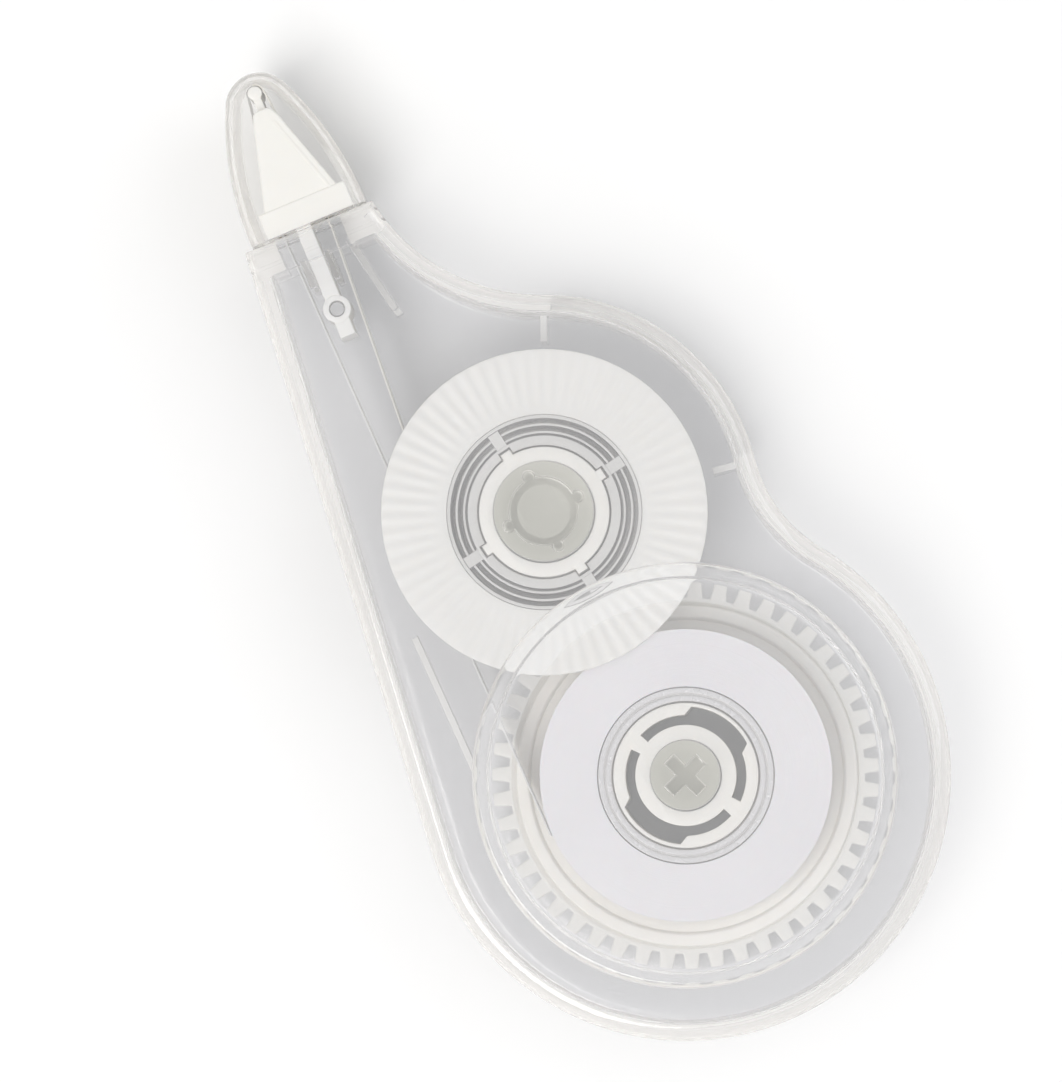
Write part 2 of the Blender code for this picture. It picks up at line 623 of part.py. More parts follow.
def take_up_gear():
    """Pinion whose keyed sleeve carries the take-up spool."""
    phase = gear_phase() + 180.0 * (1.0 + 1.0 / TAKE_UP_TEETH)
    teeth = gear_outline(TAKE_UP, TAKE_UP_TEETH, phase)
    wheel = plate("pinion", [teeth, circle(TAKE_UP, KEY_BASE - 0.55)], GEAR_BOTTOM, GEAR_TOP)
    keys = keyed_circle(KEY_BASE, KEY_TIP, KEY_HALF_WIDTH)
    bore = circle(TAKE_UP, TAKE_UP_POST + RUNNING_GAP, 48)
    sleeve = plate("sleeve", [keys, bore], HUB_BOTTOM, FLANGE_HIGH + 0.3)
    return finish(join(wheel, sleeve), "take_up_gear", "cream", TAKE_UP)


def take_up_spool():
    """Clear spool: keyed inner wall, open groove with four ribs, core wall and one wide frosted flange."""
    keyway = keyed_circle(KEY_BASE + KEY_CLEARANCE, KEY_TIP + 0.2, KEY_HALF_WIDTH + 0.1)
    inner = plate("inner", [circle(TAKE_UP, INNER_WALL), keyway], SPOOL_LOW + 0.1, FLANGE_HIGH)
    top = FLANGE_HIGH - 0.05
    outer = [(FLANGE_RADIUS, top), (FLANGE_RADIUS, FLANGE_LOW), (SPOOL_CORE, FLANGE_LOW),
             (SPOOL_CORE, SPOOL_LOW), (GROOVE_INSIDE, SPOOL_LOW), (GROOVE_INSIDE, GROOVE_FLOOR),
             (GROOVE_OUTSIDE, GROOVE_FLOOR), (GROOVE_OUTSIDE, top)]
    spool = join(turned("outer", TAKE_UP, outer), inner)
    for quarter in range(4):
        reach = (INNER_WALL - 0.15, GROOVE_OUTSIDE + 0.2)
        ends = [polar(TAKE_UP, radius, 90.0 * quarter) for radius in reach]
        spool = join(spool, plate("spool_rib", [ribbon(ends, 1.0)], GROOVE_FLOOR - 0.2, FLANGE_HIGH - 0.2))
    finish(spool, "take_up_spool", "frosted", TAKE_UP)


def take_up_coil():
    """The bare liner that has been wound up so far."""
    coil = [(COIL_OUTSIDE, TAPE_HIGH), (COIL_OUTSIDE, TAPE_LOW),
            (COIL_INSIDE, TAPE_LOW), (COIL_INSIDE, TAPE_HIGH)]
    finish(turned("coil", TAKE_UP, coil), "take_up_liner_coil", "liner", TAKE_UP)


# ---------------------------------------------------------------- assembly

for old in list(bpy.data.objects):
    bpy.data.objects.remove(old, do_unlink=True)

parts = new_collection("correction_tape_roller")
MATERIALS = {
    "clear": material("clear", (0.86, 0.87, 0.88), 0.08, 0.25),
    "clear_core": material("clear_core", (0.88, 0.88, 0.9), 0.12, 0.5),
    "frosted": material("frosted", (0.9, 0.9, 0.88), 0.35, 0.6),
    "cream": material("cream", (0.88, 0.84, 0.76), 0.4),
    "white": material("white", (0.93, 0.92, 0.89), 0.35),
    "tape": material("tape", (0.86, 0.84, 0.86), 0.6),
    "liner": material("liner", (0.85, 0.78, 0.66), 0.45),
}

lower_shell()
upper_shell()
tip_cap()
transfer_head()
tape_spans()
supply_gear()
supply_roll()
take_up_gear()
take_up_spool()
take_up_coil()
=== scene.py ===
"""Looks of the correction tape roller: fine meshes, materials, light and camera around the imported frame.

Lengths are millimetres and are scaled to metres where each curve or mesh is made. The frame is the CAD's: the
origin is on the supply reel's axis at the underside, the tip points to -X and the front face is +Z.
"""

import json
import math

import bmesh
import bpy
from mathutils import Matrix, Vector


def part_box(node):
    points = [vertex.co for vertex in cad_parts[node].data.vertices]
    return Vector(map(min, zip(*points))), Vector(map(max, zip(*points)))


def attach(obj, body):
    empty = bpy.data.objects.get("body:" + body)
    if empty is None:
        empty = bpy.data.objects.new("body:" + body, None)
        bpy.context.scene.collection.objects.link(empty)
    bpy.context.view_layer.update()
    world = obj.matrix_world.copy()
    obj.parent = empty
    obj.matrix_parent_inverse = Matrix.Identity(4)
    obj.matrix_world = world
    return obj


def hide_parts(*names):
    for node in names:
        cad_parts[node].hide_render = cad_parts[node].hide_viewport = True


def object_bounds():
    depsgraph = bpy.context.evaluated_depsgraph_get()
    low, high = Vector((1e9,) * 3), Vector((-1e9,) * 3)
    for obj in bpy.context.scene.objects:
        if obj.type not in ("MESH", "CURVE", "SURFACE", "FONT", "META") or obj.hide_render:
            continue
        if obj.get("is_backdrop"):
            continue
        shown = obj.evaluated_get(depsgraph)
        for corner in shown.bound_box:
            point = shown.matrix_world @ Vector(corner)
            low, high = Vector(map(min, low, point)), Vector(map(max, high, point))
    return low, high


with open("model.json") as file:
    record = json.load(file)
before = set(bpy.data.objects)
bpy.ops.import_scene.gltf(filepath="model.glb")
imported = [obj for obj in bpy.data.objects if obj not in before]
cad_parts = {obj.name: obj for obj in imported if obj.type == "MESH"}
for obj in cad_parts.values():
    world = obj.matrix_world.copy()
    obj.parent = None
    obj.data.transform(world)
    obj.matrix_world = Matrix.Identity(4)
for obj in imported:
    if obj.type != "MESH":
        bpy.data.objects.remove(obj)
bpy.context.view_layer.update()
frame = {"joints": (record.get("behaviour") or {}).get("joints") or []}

MM = 0.001
SAME_POINT = 1e-6    # metres
CREASE = math.radians(32.0)

# How finely round shapes are drawn: degrees in an arc, and sides or steps of full circles and rounded rims
ARC_STEP, CIRCLE_SIDES, TURN_STEPS = 1.0, 160, 180
POST_SIDES, BEAD_SIDES, PEG_SIDES, LUG_SIDES = 96, 48, 32, 24
RIM_STEPS, DRUM_STEPS, INSIDE_STEPS, CAP_INSIDE_STEPS = 8, 5, 4, 6

# How far cutting tools reach past what they cut, and how far joined solids reach into each other
SPARE = 1.0
FAR = 80.0
EMBED = 0.4


# ---------------------------------------------------------------- sizes, from the frame where it gives them

def joint_centre(name):
    """The plan position of a joint's upright axis."""
    joint = next(j for j in frame["joints"] if j["name"] == name)
    return Vector(joint["pos_m"][:2]) / MM


def levels(node):
    low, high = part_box(node)
    return low.z / MM, high.z / MM


def half_width(node):
    low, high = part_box(node)
    return (high.y - low.y) / 2 / MM


SUPPLY = joint_centre("drive_gear_spin")
TAKE_UP = joint_centre("take_up_spin")
FLOOR, ROOF, DRUM_RISE = 1.2, 1.2, 0.6
DRUM_OUTSIDE = levels("upper_shell")[1]
ROOF_OUTSIDE = DRUM_OUTSIDE - DRUM_RISE
ROOF_INSIDE, DRUM_INSIDE = ROOF_OUTSIDE - ROOF, DRUM_OUTSIDE - ROOF
TAPE_LOW, TAPE_HIGH = levels("feed_tape")
ROLL_RADIUS = half_width("supply_tape_roll")
CORE_LOW = levels("supply_core")[0]
FLANGE_RADIUS = half_width("take_up_spool")
SPOOL_LOW, FLANGE_HIGH = levels("take_up_spool")
COIL_OUTSIDE = half_width("take_up_liner_coil")
HUB_BOTTOM, HUB_TOP = levels("supply_gear")
SLEEVE_TOP = levels("take_up_gear")[1]

# Body: outline radii, wall, parting line, drum, the bulge's deep flap with its ribs, and the collar
END_RADIUS = 21.7
BULGE_RADIUS = 17.8
SADDLE_RADIUS = 12.0
NECK_RADIUS = 16.4
NECK_LOW_Y = 4.6
CORNER_T = -5.7
WALL = 1.3
RIM_ROUND, INSIDE_ROUND = 1.3, WALL * 0.4
PARTING, PARTING_GAP = 6.3, 0.06
DRUM_INSIDE_RADIUS, DRUM_RADIUS, DRUM_ROUND = 16.3, 17.4, 0.55
FLAP_FROM, FLAP_TO, FLAP_SLIT, FLAP_SILL = 73.0, 145.0, 0.7, 2.3
FLAP_DEPTH, FLAP_TOOL_SPREAD, FLAP_TOOL_GROW = 1.4 * WALL, 4.0, 1.0
FLAP_RIB_ASIDE, FLAP_RIB_FROM, FLAP_RIB_TO, FLAP_RIB_TOP = 2.2, 14.2, 17.2, 6.2
GROOVES = (-0.95, -2.0)
GROOVE_WIDTH, GROOVE_DEPTH = 0.3, 0.25
MOUTH_LOW, MOUTH_HIGH = 3.2, 9.4
MOUTH_SIDES = (-3.1, 2.6)

# Posts and pins
SUPPLY_POST, SUPPLY_POST_BORE = 2.85, 2.1
TAKE_UP_POST, TAKE_UP_POST_BORE = 4.1, 3.5
POST_TOP, POST_STEP, POST_STEP_TOP, POST_SOFT = 10.7, 1.1, 1.5, 0.12
PIN_REACH = 5.0
CROSS_ARM, CROSS_HALF_WIDTH, CROSS_TURN, CROSS_SOFT = 1.9, 0.6, 12.0, 0.12
TUBE_INSIDE, TUBE_OUTSIDE, TUBE_SOFT = 2.2, 2.75, 0.1
LUG_AT, LUG_RADIUS, LUG_TURN, LUG_RAISE = 2.9, 0.42, -10.0, 0.3
MARK_DEPTH, MARK_GROW = 0.25, 0.15
MARK_SOFT = MARK_DEPTH * 0.9
RUNNING_GAP = 0.1
RIB, RIB_FROM, RIB_TOP, RIB_SOFT = 0.6, 0.8, 3.3, 0.08
ROOF_RIB_FROM = 9.3
STEM_RIB, STEM_RIB_GAP, STEM_RIB_END, STEM_RIB_TOP = 0.52, 0.12, -4.8, 5.0
LINER_RIB = (Vector((-52.0, 1.25)), Vector((-45.0, 1.25)))
TAPE_RAIL = (Vector((-22.0, -12.5)), Vector((-9.6, -14.5)))
RAIL_SOFT = 0.1

# Head and cap: s runs out along the head's axis from the collar's face, t runs across it
HEAD_FOOT = Vector((-54.6, -0.9))
HEAD_TILT = math.radians(11.0)
COLLAR = 2.6
HEAD_LOW, HEAD_HIGH, HEAD_SOFT = 2.55, 10.05, 0.15
CHEEK, NOSE_END = 1.0, 10.5
WEDGE = ((0.35, -3.6), (NOSE_END - 0.9, -1.05), (NOSE_END - 0.2, -0.8), (NOSE_END, -0.45), (NOSE_END, 0.45),
         (NOSE_END - 0.2, 0.8), (NOSE_END - 0.9, 1.15), (0.35, 4.1))
TONGUE_HALF = 0.42
TONGUE = ((2.0, -2.0), (NOSE_END - 0.3, -TONGUE_HALF), (NOSE_END - 0.3, TONGUE_HALF), (2.0, 1.45))
EDGE_LINE = ((2.3, 3.0), (NOSE_END - 1.2, 0.72), (NOSE_END - 1.2, 0.5), (2.3, 2.72))
EDGE_LINE_SUNK, EDGE_LINE_PROUD = 0.2, 0.1
BEAD_AT, BEAD_RADIUS, BEAD_PROUD, BEAD_SOFT = 12.1, 0.6, 0.15, 0.1
NECK_FROM, NECK_HALF, NECK_PROUD = NOSE_END - 1.0, 0.34, 0.1
SLIM_SOFT = 0.05
FOOT_ENDS, FOOT_SIDES, FOOT_PROUD = (0.3, 2.5), (-3.55, 4.0), 0.15
STEM_ENDS, STEM_SIDES, STEM_LOW, STEM_HIGH, STEM_SOFT = (-9.4, 0.9), (-1.15, 0.15), 3.5, 9.1, 0.1
PEG_AT, PEG_RADIUS, PEG_TOP, PEG_SOFT, PEG_CLEARANCE = (-7.0, -0.5), 0.6, 8.6, 0.1, 0.08
BOSS_RADIUS, BOSS_PROUD, BOSS_SOFT = 1.15, 0.05, 0.08
FEED_SLOT, LINER_SLOT, SLOT_ENDS = (-2.8, -2.05), (1.45, 2.15), (-1.0, 3.4)
FEED_GUIDE, LINER_GUIDE = (1.4, -2.35), (1.4, 1.75)
CAP_BACK, CAP_TIP, CAP_SHOULDER, CAP_SPARE = 0.25, 13.7, 1.0, 3.0
CAP_HALF_WIDTH, CAP_SIDE_RADIUS = 5.05, 26.0
CAP_LOW, CAP_HIGH = 1.4, 11.2
CAP_WALL, CAP_ROUND, CAP_TAPER = 0.55, 1.5, 0.008
TAPE_THICKNESS, TAPE_CLEARANCE = 0.1, 0.15
WRAP_STEP = 6.0
FEED_WRAP, LINER_WRAP = (97.0, 6.0), (-6.0, -95.0)    # degrees round the bead, from the head's axis

# Gears; a tooth's half width is given from root to tip, as shares of the half width at the pitch circle
GEAR_MODULE, DEDENDUM, BACKLASH = 0.6622, 1.25, 0.24
SUPPLY_TEETH, TAKE_UP_TEETH = 47, 27
GEAR_BOTTOM, GEAR_TOP = 1.7, 3.2
WHEEL_TOOTH = (1.75, 1.62, 1.5, 1.42, 1.34, 1.24, 1.1)
PINION_TOOTH = (1.1, 0.98, 0.92, 0.82, 0.66, 0.46, 0.34)
ROOT_FILLET, PITCH_BELOW, PITCH_ABOVE, TIP_FILLET = 0.12, 0.3, 0.33, 0.1
WHEEL_SOFT, PINION_SOFT, SLEEVE_SOFT = 0.14, 0.06, 0.08
PINION_LAP = 0.55

# Supply reel
HUB_TURN, HUB_LAP, HUB_SOFT = 23.0, 0.15, 0.06
SLEEVE_RADIUS, PAD_INSIDE, PAD_OUTSIDE, HUB_RADIUS = 4.15, 4.95, 5.65, 5.95
BRIDGE_HALF_ANGLE, PAD_HALF_ANGLE, PAD_SLANT = 8.0, 57.0, 4.0
RIM_INSIDE, RIM_OUTSIDE, RIM_TOP, RIM_SLANT, RIM_SOFT = 12.7, 14.1, 3.65, 0.4, 0.18
CORE_INSIDE, CORE_OUTSIDE, CORE_SOFT = 6.1, 7.2, 0.08
CORE_GROOVE_HALF, CORE_GROOVE_DEPTH = 0.12, 0.25
ROLL_INSIDE, ROLL_LAYERS = 7.3, 24
LAYER_STEP, LAYER_SWELL, LAYER_SWELL_TURN = 0.012, 0.01, 2.7

# Take-up reel
KEY_BASE, KEY_TIP, KEY_HALF_WIDTH, KEY_CLEARANCE = 5.35, 5.85, 0.45, 0.15
KEYWAY_DEPTH, KEYWAY_SIDE = 0.2, 0.1
SPOOL_CORE, COIL_INSIDE, COIL_SOFT = 8.0, 8.1, 0.03
FLANGE_LOW, HUB_FLOOR = 9.2, 4.4
HUB_WALL_OUTSIDE, HUB_WALL_RAISE = 6.3, 0.1
GROOVE_INSIDE, GROOVE_OUTSIDE = 6.1, 7.72
HUB_RINGS = ((6.5, 6.7), (7.12, 7.32))
SPOOL_RIB, SPOOL_RIB_ENDS, SPOOL_RIB_SUNK = 1.0, (6.2, 7.7), 0.2
HUB_WALL_TOP, RING_TOP, SPOOL_RIB_TOP = FLANGE_HIGH - 0.05, FLANGE_HIGH - 0.45, FLANGE_HIGH - 0.15
FLUTES, FLUTE_DEPTH, FLUTE_FROM, FLUTE_FADE = 64, 0.085, 0.5, 1.6
FLUTE_COLUMNS, FLANGE_ROWS = 8, 14
FLANGE_SOFT, FLANGE_GAP, FLANGE_EDGE = 0.12, 0.04, 0.02

# Clear plastic: the slope where a face counts as level or steep, and the tint, haze and blur of steep faces, of
# end faces at a joint, of the matt spots over the posts and of the drum's edge
LEVEL_Z, STEEP_Z = 0.97, 0.4
EDGE_TINT, EDGE_BLUR = (0.965, 0.95, 0.925), 0.12
END_HAZE, END_BAND = 0.5, 0.02
SPOT_TINT, SPOT_HAZE = (0.78, 0.775, 0.73), 0.27
RING_HAZE, RING_HAZE_FROM = 0.12, RIM_OUTSIDE + 0.1
SPOT_FADE = 0.08

# Camera: the reference view looks almost straight down, with the tip to the upper left
SENSOR = 36.0
CLIP = (0.02, 5.0)    # metres
VIEW_TURN = math.radians(56.5)
VIEW_HEIGHT = 671.0
VIEW_OFFSET = (11.0, -4.0)
VIEW_SPAN = 90.0
IMAGE_SIZE = (1062, 1082)

# Stage
LIGHTS_AIM = (-8.0, 18.0)
TABLE_HALF, TABLE_LOW, TABLE_TOP = 900.0, -2.0, -0.02


# ---------------------------------------------------------------- plan geometry

def head_point(s, t):
    """Place a point given along and across the head's tilted axis."""
    along = Vector((-math.cos(HEAD_TILT), math.sin(HEAD_TILT)))
    across = Vector((math.sin(HEAD_TILT), math.cos(HEAD_TILT)))
    return HEAD_FOOT + along * s + across * t


def polar(centre, radius, degrees):
    angle = math.radians(degrees)
    return centre + Vector((math.cos(angle), math.sin(angle))) * radius


def arc(centre, radius, start, end, step=ARC_STEP):
    """Points along an arc, both ends included; start and end are in degrees."""
    count = max(2, math.ceil(abs(end - start) / step))
    return [polar(centre, radius, start + (end - start) * i / count) for i in range(count + 1)]


def circle(centre, radius, sides=CIRCLE_SIDES):
    return [polar(centre, radius, 360.0 * i / sides) for i in range(sides)]


def bearing(origin, target):
    delta = target - origin
    return math.degrees(math.atan2(delta.y, delta.x))


def sector(centre, inner, outer, start, end):
    return arc(centre, inner, start, end) + arc(centre, outer, end, start)


def head_box(s_from, s_to, t_from, t_to):
    corners = ((s_from, t_from), (s_to, t_from), (s_to, t_to), (s_from, t_to))
    return [head_point(s, t) for s, t in corners]


def cross_line(origin, direction, point, heading):
    """Where the line through origin meets the line through point."""
    delta = point - origin
    along = (delta.x * heading.y - delta.y * heading.x) / (direction.x * heading.y - direction.y * heading.x)
    return origin + direction * along


def tangent_touch(point, centre, radius, side):
    """The touching point on a circle of a line from point; side is +1 for left of the line, -1 for right."""
    delta = centre - point
    heading = math.atan2(delta.y, delta.x) + side * math.asin(radius / delta.length)
    reach = math.sqrt(delta.length_squared - radius ** 2)
    return point + Vector((math.cos(heading), math.sin(heading))) * reach


def body_outline(inset, front):
    """The body's outline, moved in by inset and ended at s = front on the head's axis."""
    saddle_reach = (END_RADIUS + SADDLE_RADIUS, BULGE_RADIUS + SADDLE_RADIUS)
    span = (TAKE_UP - SUPPLY).length
    along = (span ** 2 + saddle_reach[0] ** 2 - saddle_reach[1] ** 2) / (2 * span)
    across = math.sqrt(saddle_reach[0] ** 2 - along ** 2)
    unit = (TAKE_UP - SUPPLY) / span
    saddle = SUPPLY + unit * along + Vector((unit.y, -unit.x)) * across

    neck_y = NECK_LOW_Y + NECK_RADIUS
    neck_reach = math.sqrt((BULGE_RADIUS + NECK_RADIUS) ** 2 - (neck_y - TAKE_UP.y) ** 2)
    neck = Vector((TAKE_UP.x - neck_reach, neck_y))

    corner = head_point(0.0, CORNER_T)
    low_touch = tangent_touch(corner, SUPPLY, END_RADIUS, -1)
    edge = (low_touch - corner).normalized()
    inner_corner = corner + Vector((-edge.y, edge.x)) * inset
    front_point = head_point(front, 0.0)
    front_line = head_point(front, 1.0) - front_point

    points = [cross_line(inner_corner, edge, front_point, front_line)]
    points += arc(SUPPLY, END_RADIUS - inset, bearing(SUPPLY, low_touch), bearing(SUPPLY, saddle))
    points += arc(saddle, SADDLE_RADIUS + inset, bearing(saddle, SUPPLY), bearing(saddle, TAKE_UP))[1:-1]
    points += arc(TAKE_UP, BULGE_RADIUS - inset, bearing(TAKE_UP, saddle), bearing(TAKE_UP, neck))
    points += arc(neck, NECK_RADIUS + inset, bearing(neck, TAKE_UP), -90.0)[1:]
    level = Vector((0.0, NECK_LOW_Y - inset))
    points.append(cross_line(level, Vector((1.0, 0.0)), front_point, front_line))
    return points


def gear_outline(centre, teeth, phase, shares):
    """Teeth with curved flanks; phase is the angle of one tooth, shares its half widths from root to tip."""
    pitch = GEAR_MODULE * teeth / 2
    tip, root = pitch + GEAR_MODULE, pitch - DEDENDUM * GEAR_MODULE
    half = (math.pi * GEAR_MODULE / 2 - BACKLASH) / 2
    radii = (root, root + ROOT_FILLET, pitch - PITCH_BELOW, pitch, pitch + PITCH_ABOVE, tip - TIP_FILLET, tip)
    flank = list(zip(radii, shares))
    points = []
    for tooth in range(teeth):
        middle = phase + 360.0 * tooth / teeth
        points += [polar(centre, radius, middle - math.degrees(half * share / radius)) for radius, share in flank]
        points += [polar(centre, radius, middle + math.degrees(half * share / radius))
                   for radius, share in reversed(flank)]
    return points


def cap_outline(inset, back):
    """A bullet in plan: two long side arcs run into a round nose."""
    reach = CAP_TIP - CAP_SHOULDER
    drop = CAP_SIDE_RADIUS - CAP_HALF_WIDTH
    nose = (CAP_SIDE_RADIUS ** 2 - drop ** 2 - reach ** 2) / (2 * (CAP_SIDE_RADIUS - reach))
    nose_at = Vector((CAP_TIP - nose, 0.0))
    side_centre = Vector((CAP_SHOULDER, -drop))
    turn = bearing(side_centre, nose_at)
    half = arc(side_centre, CAP_SIDE_RADIUS - inset, 90.0, turn, 1.5)
    half += arc(nose_at, nose - inset, turn, 0.0, 5.0)[1:]
    side = [(back, half[0].y)] + [(p.x, p.y) for p in half]
    mirrored = [(s, -t) for s, t in reversed(side[:-1])]
    return [head_point(s, t) for s, t in side + mirrored]


def cross_outline(arm, half, turn):
    """A plus sign about the supply axis, turned by some degrees."""
    reach = math.hypot(arm, half)
    lean = math.degrees(math.atan2(half, arm))
    points = []
    for quarter in range(4):
        middle = turn + 90.0 * quarter
        points += [polar(SUPPLY, reach, middle - lean), polar(SUPPLY, reach, middle + lean),
                   polar(SUPPLY, half * math.sqrt(2.0), middle + 45.0)]
    return points


def keyed_circle(radius, key_radius, key_half_width):
    """A circle about the take-up axis with four keys that reach out to key_radius."""
    points = []
    for key in range(4):
        middle = 90.0 * key
        inner = math.degrees(math.asin(key_half_width / radius))
        outer = math.degrees(math.asin(key_half_width / key_radius))
        points += [polar(TAKE_UP, radius, middle - inner), polar(TAKE_UP, key_radius, middle - outer),
                   polar(TAKE_UP, key_radius, middle + outer)]
        points += arc(TAKE_UP, radius, middle + inner, middle + 90.0 - inner)[:-1]
    return points


def ribbon(path, thickness):
    """The outline of a strip that follows a path."""
    left, right = [], []
    for i, point in enumerate(path):
        heading = (path[min(i + 1, len(path) - 1)] - path[max(i - 1, 0)]).normalized()
        normal = Vector((-heading.y, heading.x)) * thickness / 2
        left.append(point + normal)
        right.append(point - normal)
    return left + right[::-1]


def rounded(profile, radius, segments=4):
    """A closed profile with its corners rounded, each by no more than its sides allow."""
    points = []
    for i, here in enumerate(profile):
        corner = Vector(here)
        before, after = Vector(profile[i - 1]) - corner, Vector(profile[(i + 1) % len(profile)]) - corner
        reach = min(radius, 0.45 * before.length, 0.45 * after.length)
        start, end = corner + before.normalized() * reach, corner + after.normalized() * reach
        for step in range(segments + 1):
            t = step / segments
            points.append(start * (1 - t) ** 2 + corner * 2 * t * (1 - t) + end * t ** 2)
    return points


# ---------------------------------------------------------------- solids

def settle(obj, weld=True):
    """Replace an object by a mesh of its evaluated shape; welding also turns it to face outwards.

    The result of a Boolean is not welded, because that can open its thinnest faces."""
    graph = bpy.context.evaluated_depsgraph_get()
    mesh = bpy.data.meshes.new_from_object(obj.evaluated_get(graph))
    if weld:
        welded = bmesh.new()
        welded.from_mesh(mesh)
        bmesh.ops.remove_doubles(welded, verts=welded.verts, dist=SAME_POINT)
        if welded.calc_volume(signed=True) < 0.0:
            bmesh.ops.reverse_faces(welded, faces=welded.faces)
        welded.to_mesh(mesh)
        welded.free()
    name, matrix = obj.name, obj.matrix_world.copy()
    bpy.data.objects.remove(obj, do_unlink=True)
    solid = bpy.data.objects.new(name, mesh)
    solid.matrix_world = matrix
    bpy.context.scene.collection.objects.link(solid)
    return solid


def plate(name, loops, low, high, soft=0.0):
    """A flat solid between two heights with softened rims; every loop after the first is a hole."""
    curve = bpy.data.curves.new(name, "CURVE")
    curve.dimensions = "2D"
    curve.fill_mode = "BOTH"
    curve.extrude = ((high - low) / 2 - soft) * MM
    curve.bevel_depth = soft * MM
    curve.bevel_resolution = 2
    curve.offset = -soft * MM
    for loop in loops:
        spline = curve.splines.new("POLY")
        spline.points.add(len(loop) - 1)
        spline.use_cyclic_u = True
        for knot, point in zip(spline.points, loop):
            knot.co = (point.x * MM, point.y * MM, 0.0, 1.0)
    obj = bpy.data.objects.new(name, curve)
    bpy.context.scene.collection.objects.link(obj)
    obj.location.z = (low + high) / 2 * MM
    bpy.context.view_layer.update()
    return settle(obj)


def turned(name, centre, profile, soft=0.0, steps=TURN_STEPS):
    """A closed profile of (radius, height) points, turned about an upright axis."""
    mesh = bpy.data.meshes.new(name)
    drawn = bmesh.new()
    outline = rounded(profile, soft) if soft else [Vector(point) for point in profile]
    verts = [drawn.verts.new((point.x * MM, 0.0, point.y * MM)) for point in outline]
    for start, end in zip(verts, verts[1:] + verts[:1]):
        drawn.edges.new((start, end))
    drawn.to_mesh(mesh)
    drawn.free()
    obj = bpy.data.objects.new(name, mesh)
    bpy.context.scene.collection.objects.link(obj)
    screw = obj.modifiers.new("turn", "SCREW")
    screw.axis = "Z"
    screw.steps = screw.render_steps = steps
    screw.use_merge_vertices = True
    screw.merge_threshold = SAME_POINT
    obj.location = (centre.x * MM, centre.y * MM, 0.0)
    bpy.context.view_layer.update()
    return settle(obj)


def combine(solid, tool, operation):
    """Join or cut one solid by another and remove the tool."""
    boolean = solid.modifiers.new(operation.lower(), "BOOLEAN")
    boolean.object = tool
    boolean.operation = operation
    boolean.solver = "MANIFOLD"
    bpy.context.view_layer.update()
    result = settle(solid, weld=False)
    bpy.data.objects.remove(tool, do_unlink=True)
    return result


def join(solid, *tools):
    for tool in tools:
        solid = combine(solid, tool, "UNION")
    return solid


def cut(solid, *tools):
    for tool in tools:
        solid = combine(solid, tool, "DIFFERENCE")
    return solid


def round_rims(solid, radius, segments, heights):
    """Round the edges that lie at the given heights, each flat cap first made one face."""
    mesh = bmesh.new()
    mesh.from_mesh(solid.data)
    bmesh.ops.dissolve_limit(mesh, angle_limit=0.01, verts=mesh.verts, edges=mesh.edges)
    lift = solid.location.z
    marks = [height * MM - lift for height in heights]
    rims = [edge for edge in mesh.edges
            if any(all(abs(v.co.z - mark) < SAME_POINT for v in edge.verts) for mark in marks)
            and edge.calc_face_angle(0.0) > 1.0]
    bmesh.ops.bevel(mesh, geom=rims, offset=radius * MM, segments=segments, profile=0.5, affect="EDGES")
    mesh.to_mesh(solid.data)
    mesh.free()
    return solid


def slim_towards_nose(solid, rate):
    """Thin a solid about the tape's mid-height as it runs out along the head's axis."""
    middle = (TAPE_LOW + TAPE_HIGH) / 2 * MM
    ahead = head_point(1.0, 0.0) - HEAD_FOOT
    lift = solid.location.z
    for vertex in solid.data.vertices:
        reach = (Vector((vertex.co.x, vertex.co.y)) / MM - HEAD_FOOT).dot(ahead)
        vertex.co.z = middle + (vertex.co.z + lift - middle) * (1.0 - rate * reach) - lift
    return solid


def show(solid, name, look, body, nodes, axis=SUPPLY):
    """Finish a piece: its origin on an upright axis, smooth shading, and its place in the frame."""
    origin = Vector((axis.x * MM, axis.y * MM, 0.0))
    solid.data.transform(Matrix.Translation(solid.location - origin))
    solid.location = origin
    solid.name = name
    solid.data.name = name
    solid.data.materials.clear()
    solid.data.materials.append(look)
    solid.data.shade_smooth()
    solid.data.set_sharp_from_angle(angle=CREASE)
    weighted = solid.modifiers.new("flat_faces_first", "WEIGHTED_NORMAL")
    weighted.keep_sharp = True
    weighted.mode = "FACE_AREA_WITH_ANGLE"
    weighted.weight = 60
    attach(solid, body)
    if nodes:
        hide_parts(*nodes)
    return solid


# ---------------------------------------------------------------- casing

def hollow_body(name, inset, low, high):
    """The casing's inside, ended at the collar."""
    hollow = plate(name, [body_outline(inset, SPARE)], low, high)
    hollow = round_rims(hollow, INSIDE_ROUND, INSIDE_STEPS, (low, high))
    return cut(hollow, plate(name + "_collar", [head_box(-COLLAR, FAR, -FAR, FAR)], 0.0, ROOF_OUTSIDE))


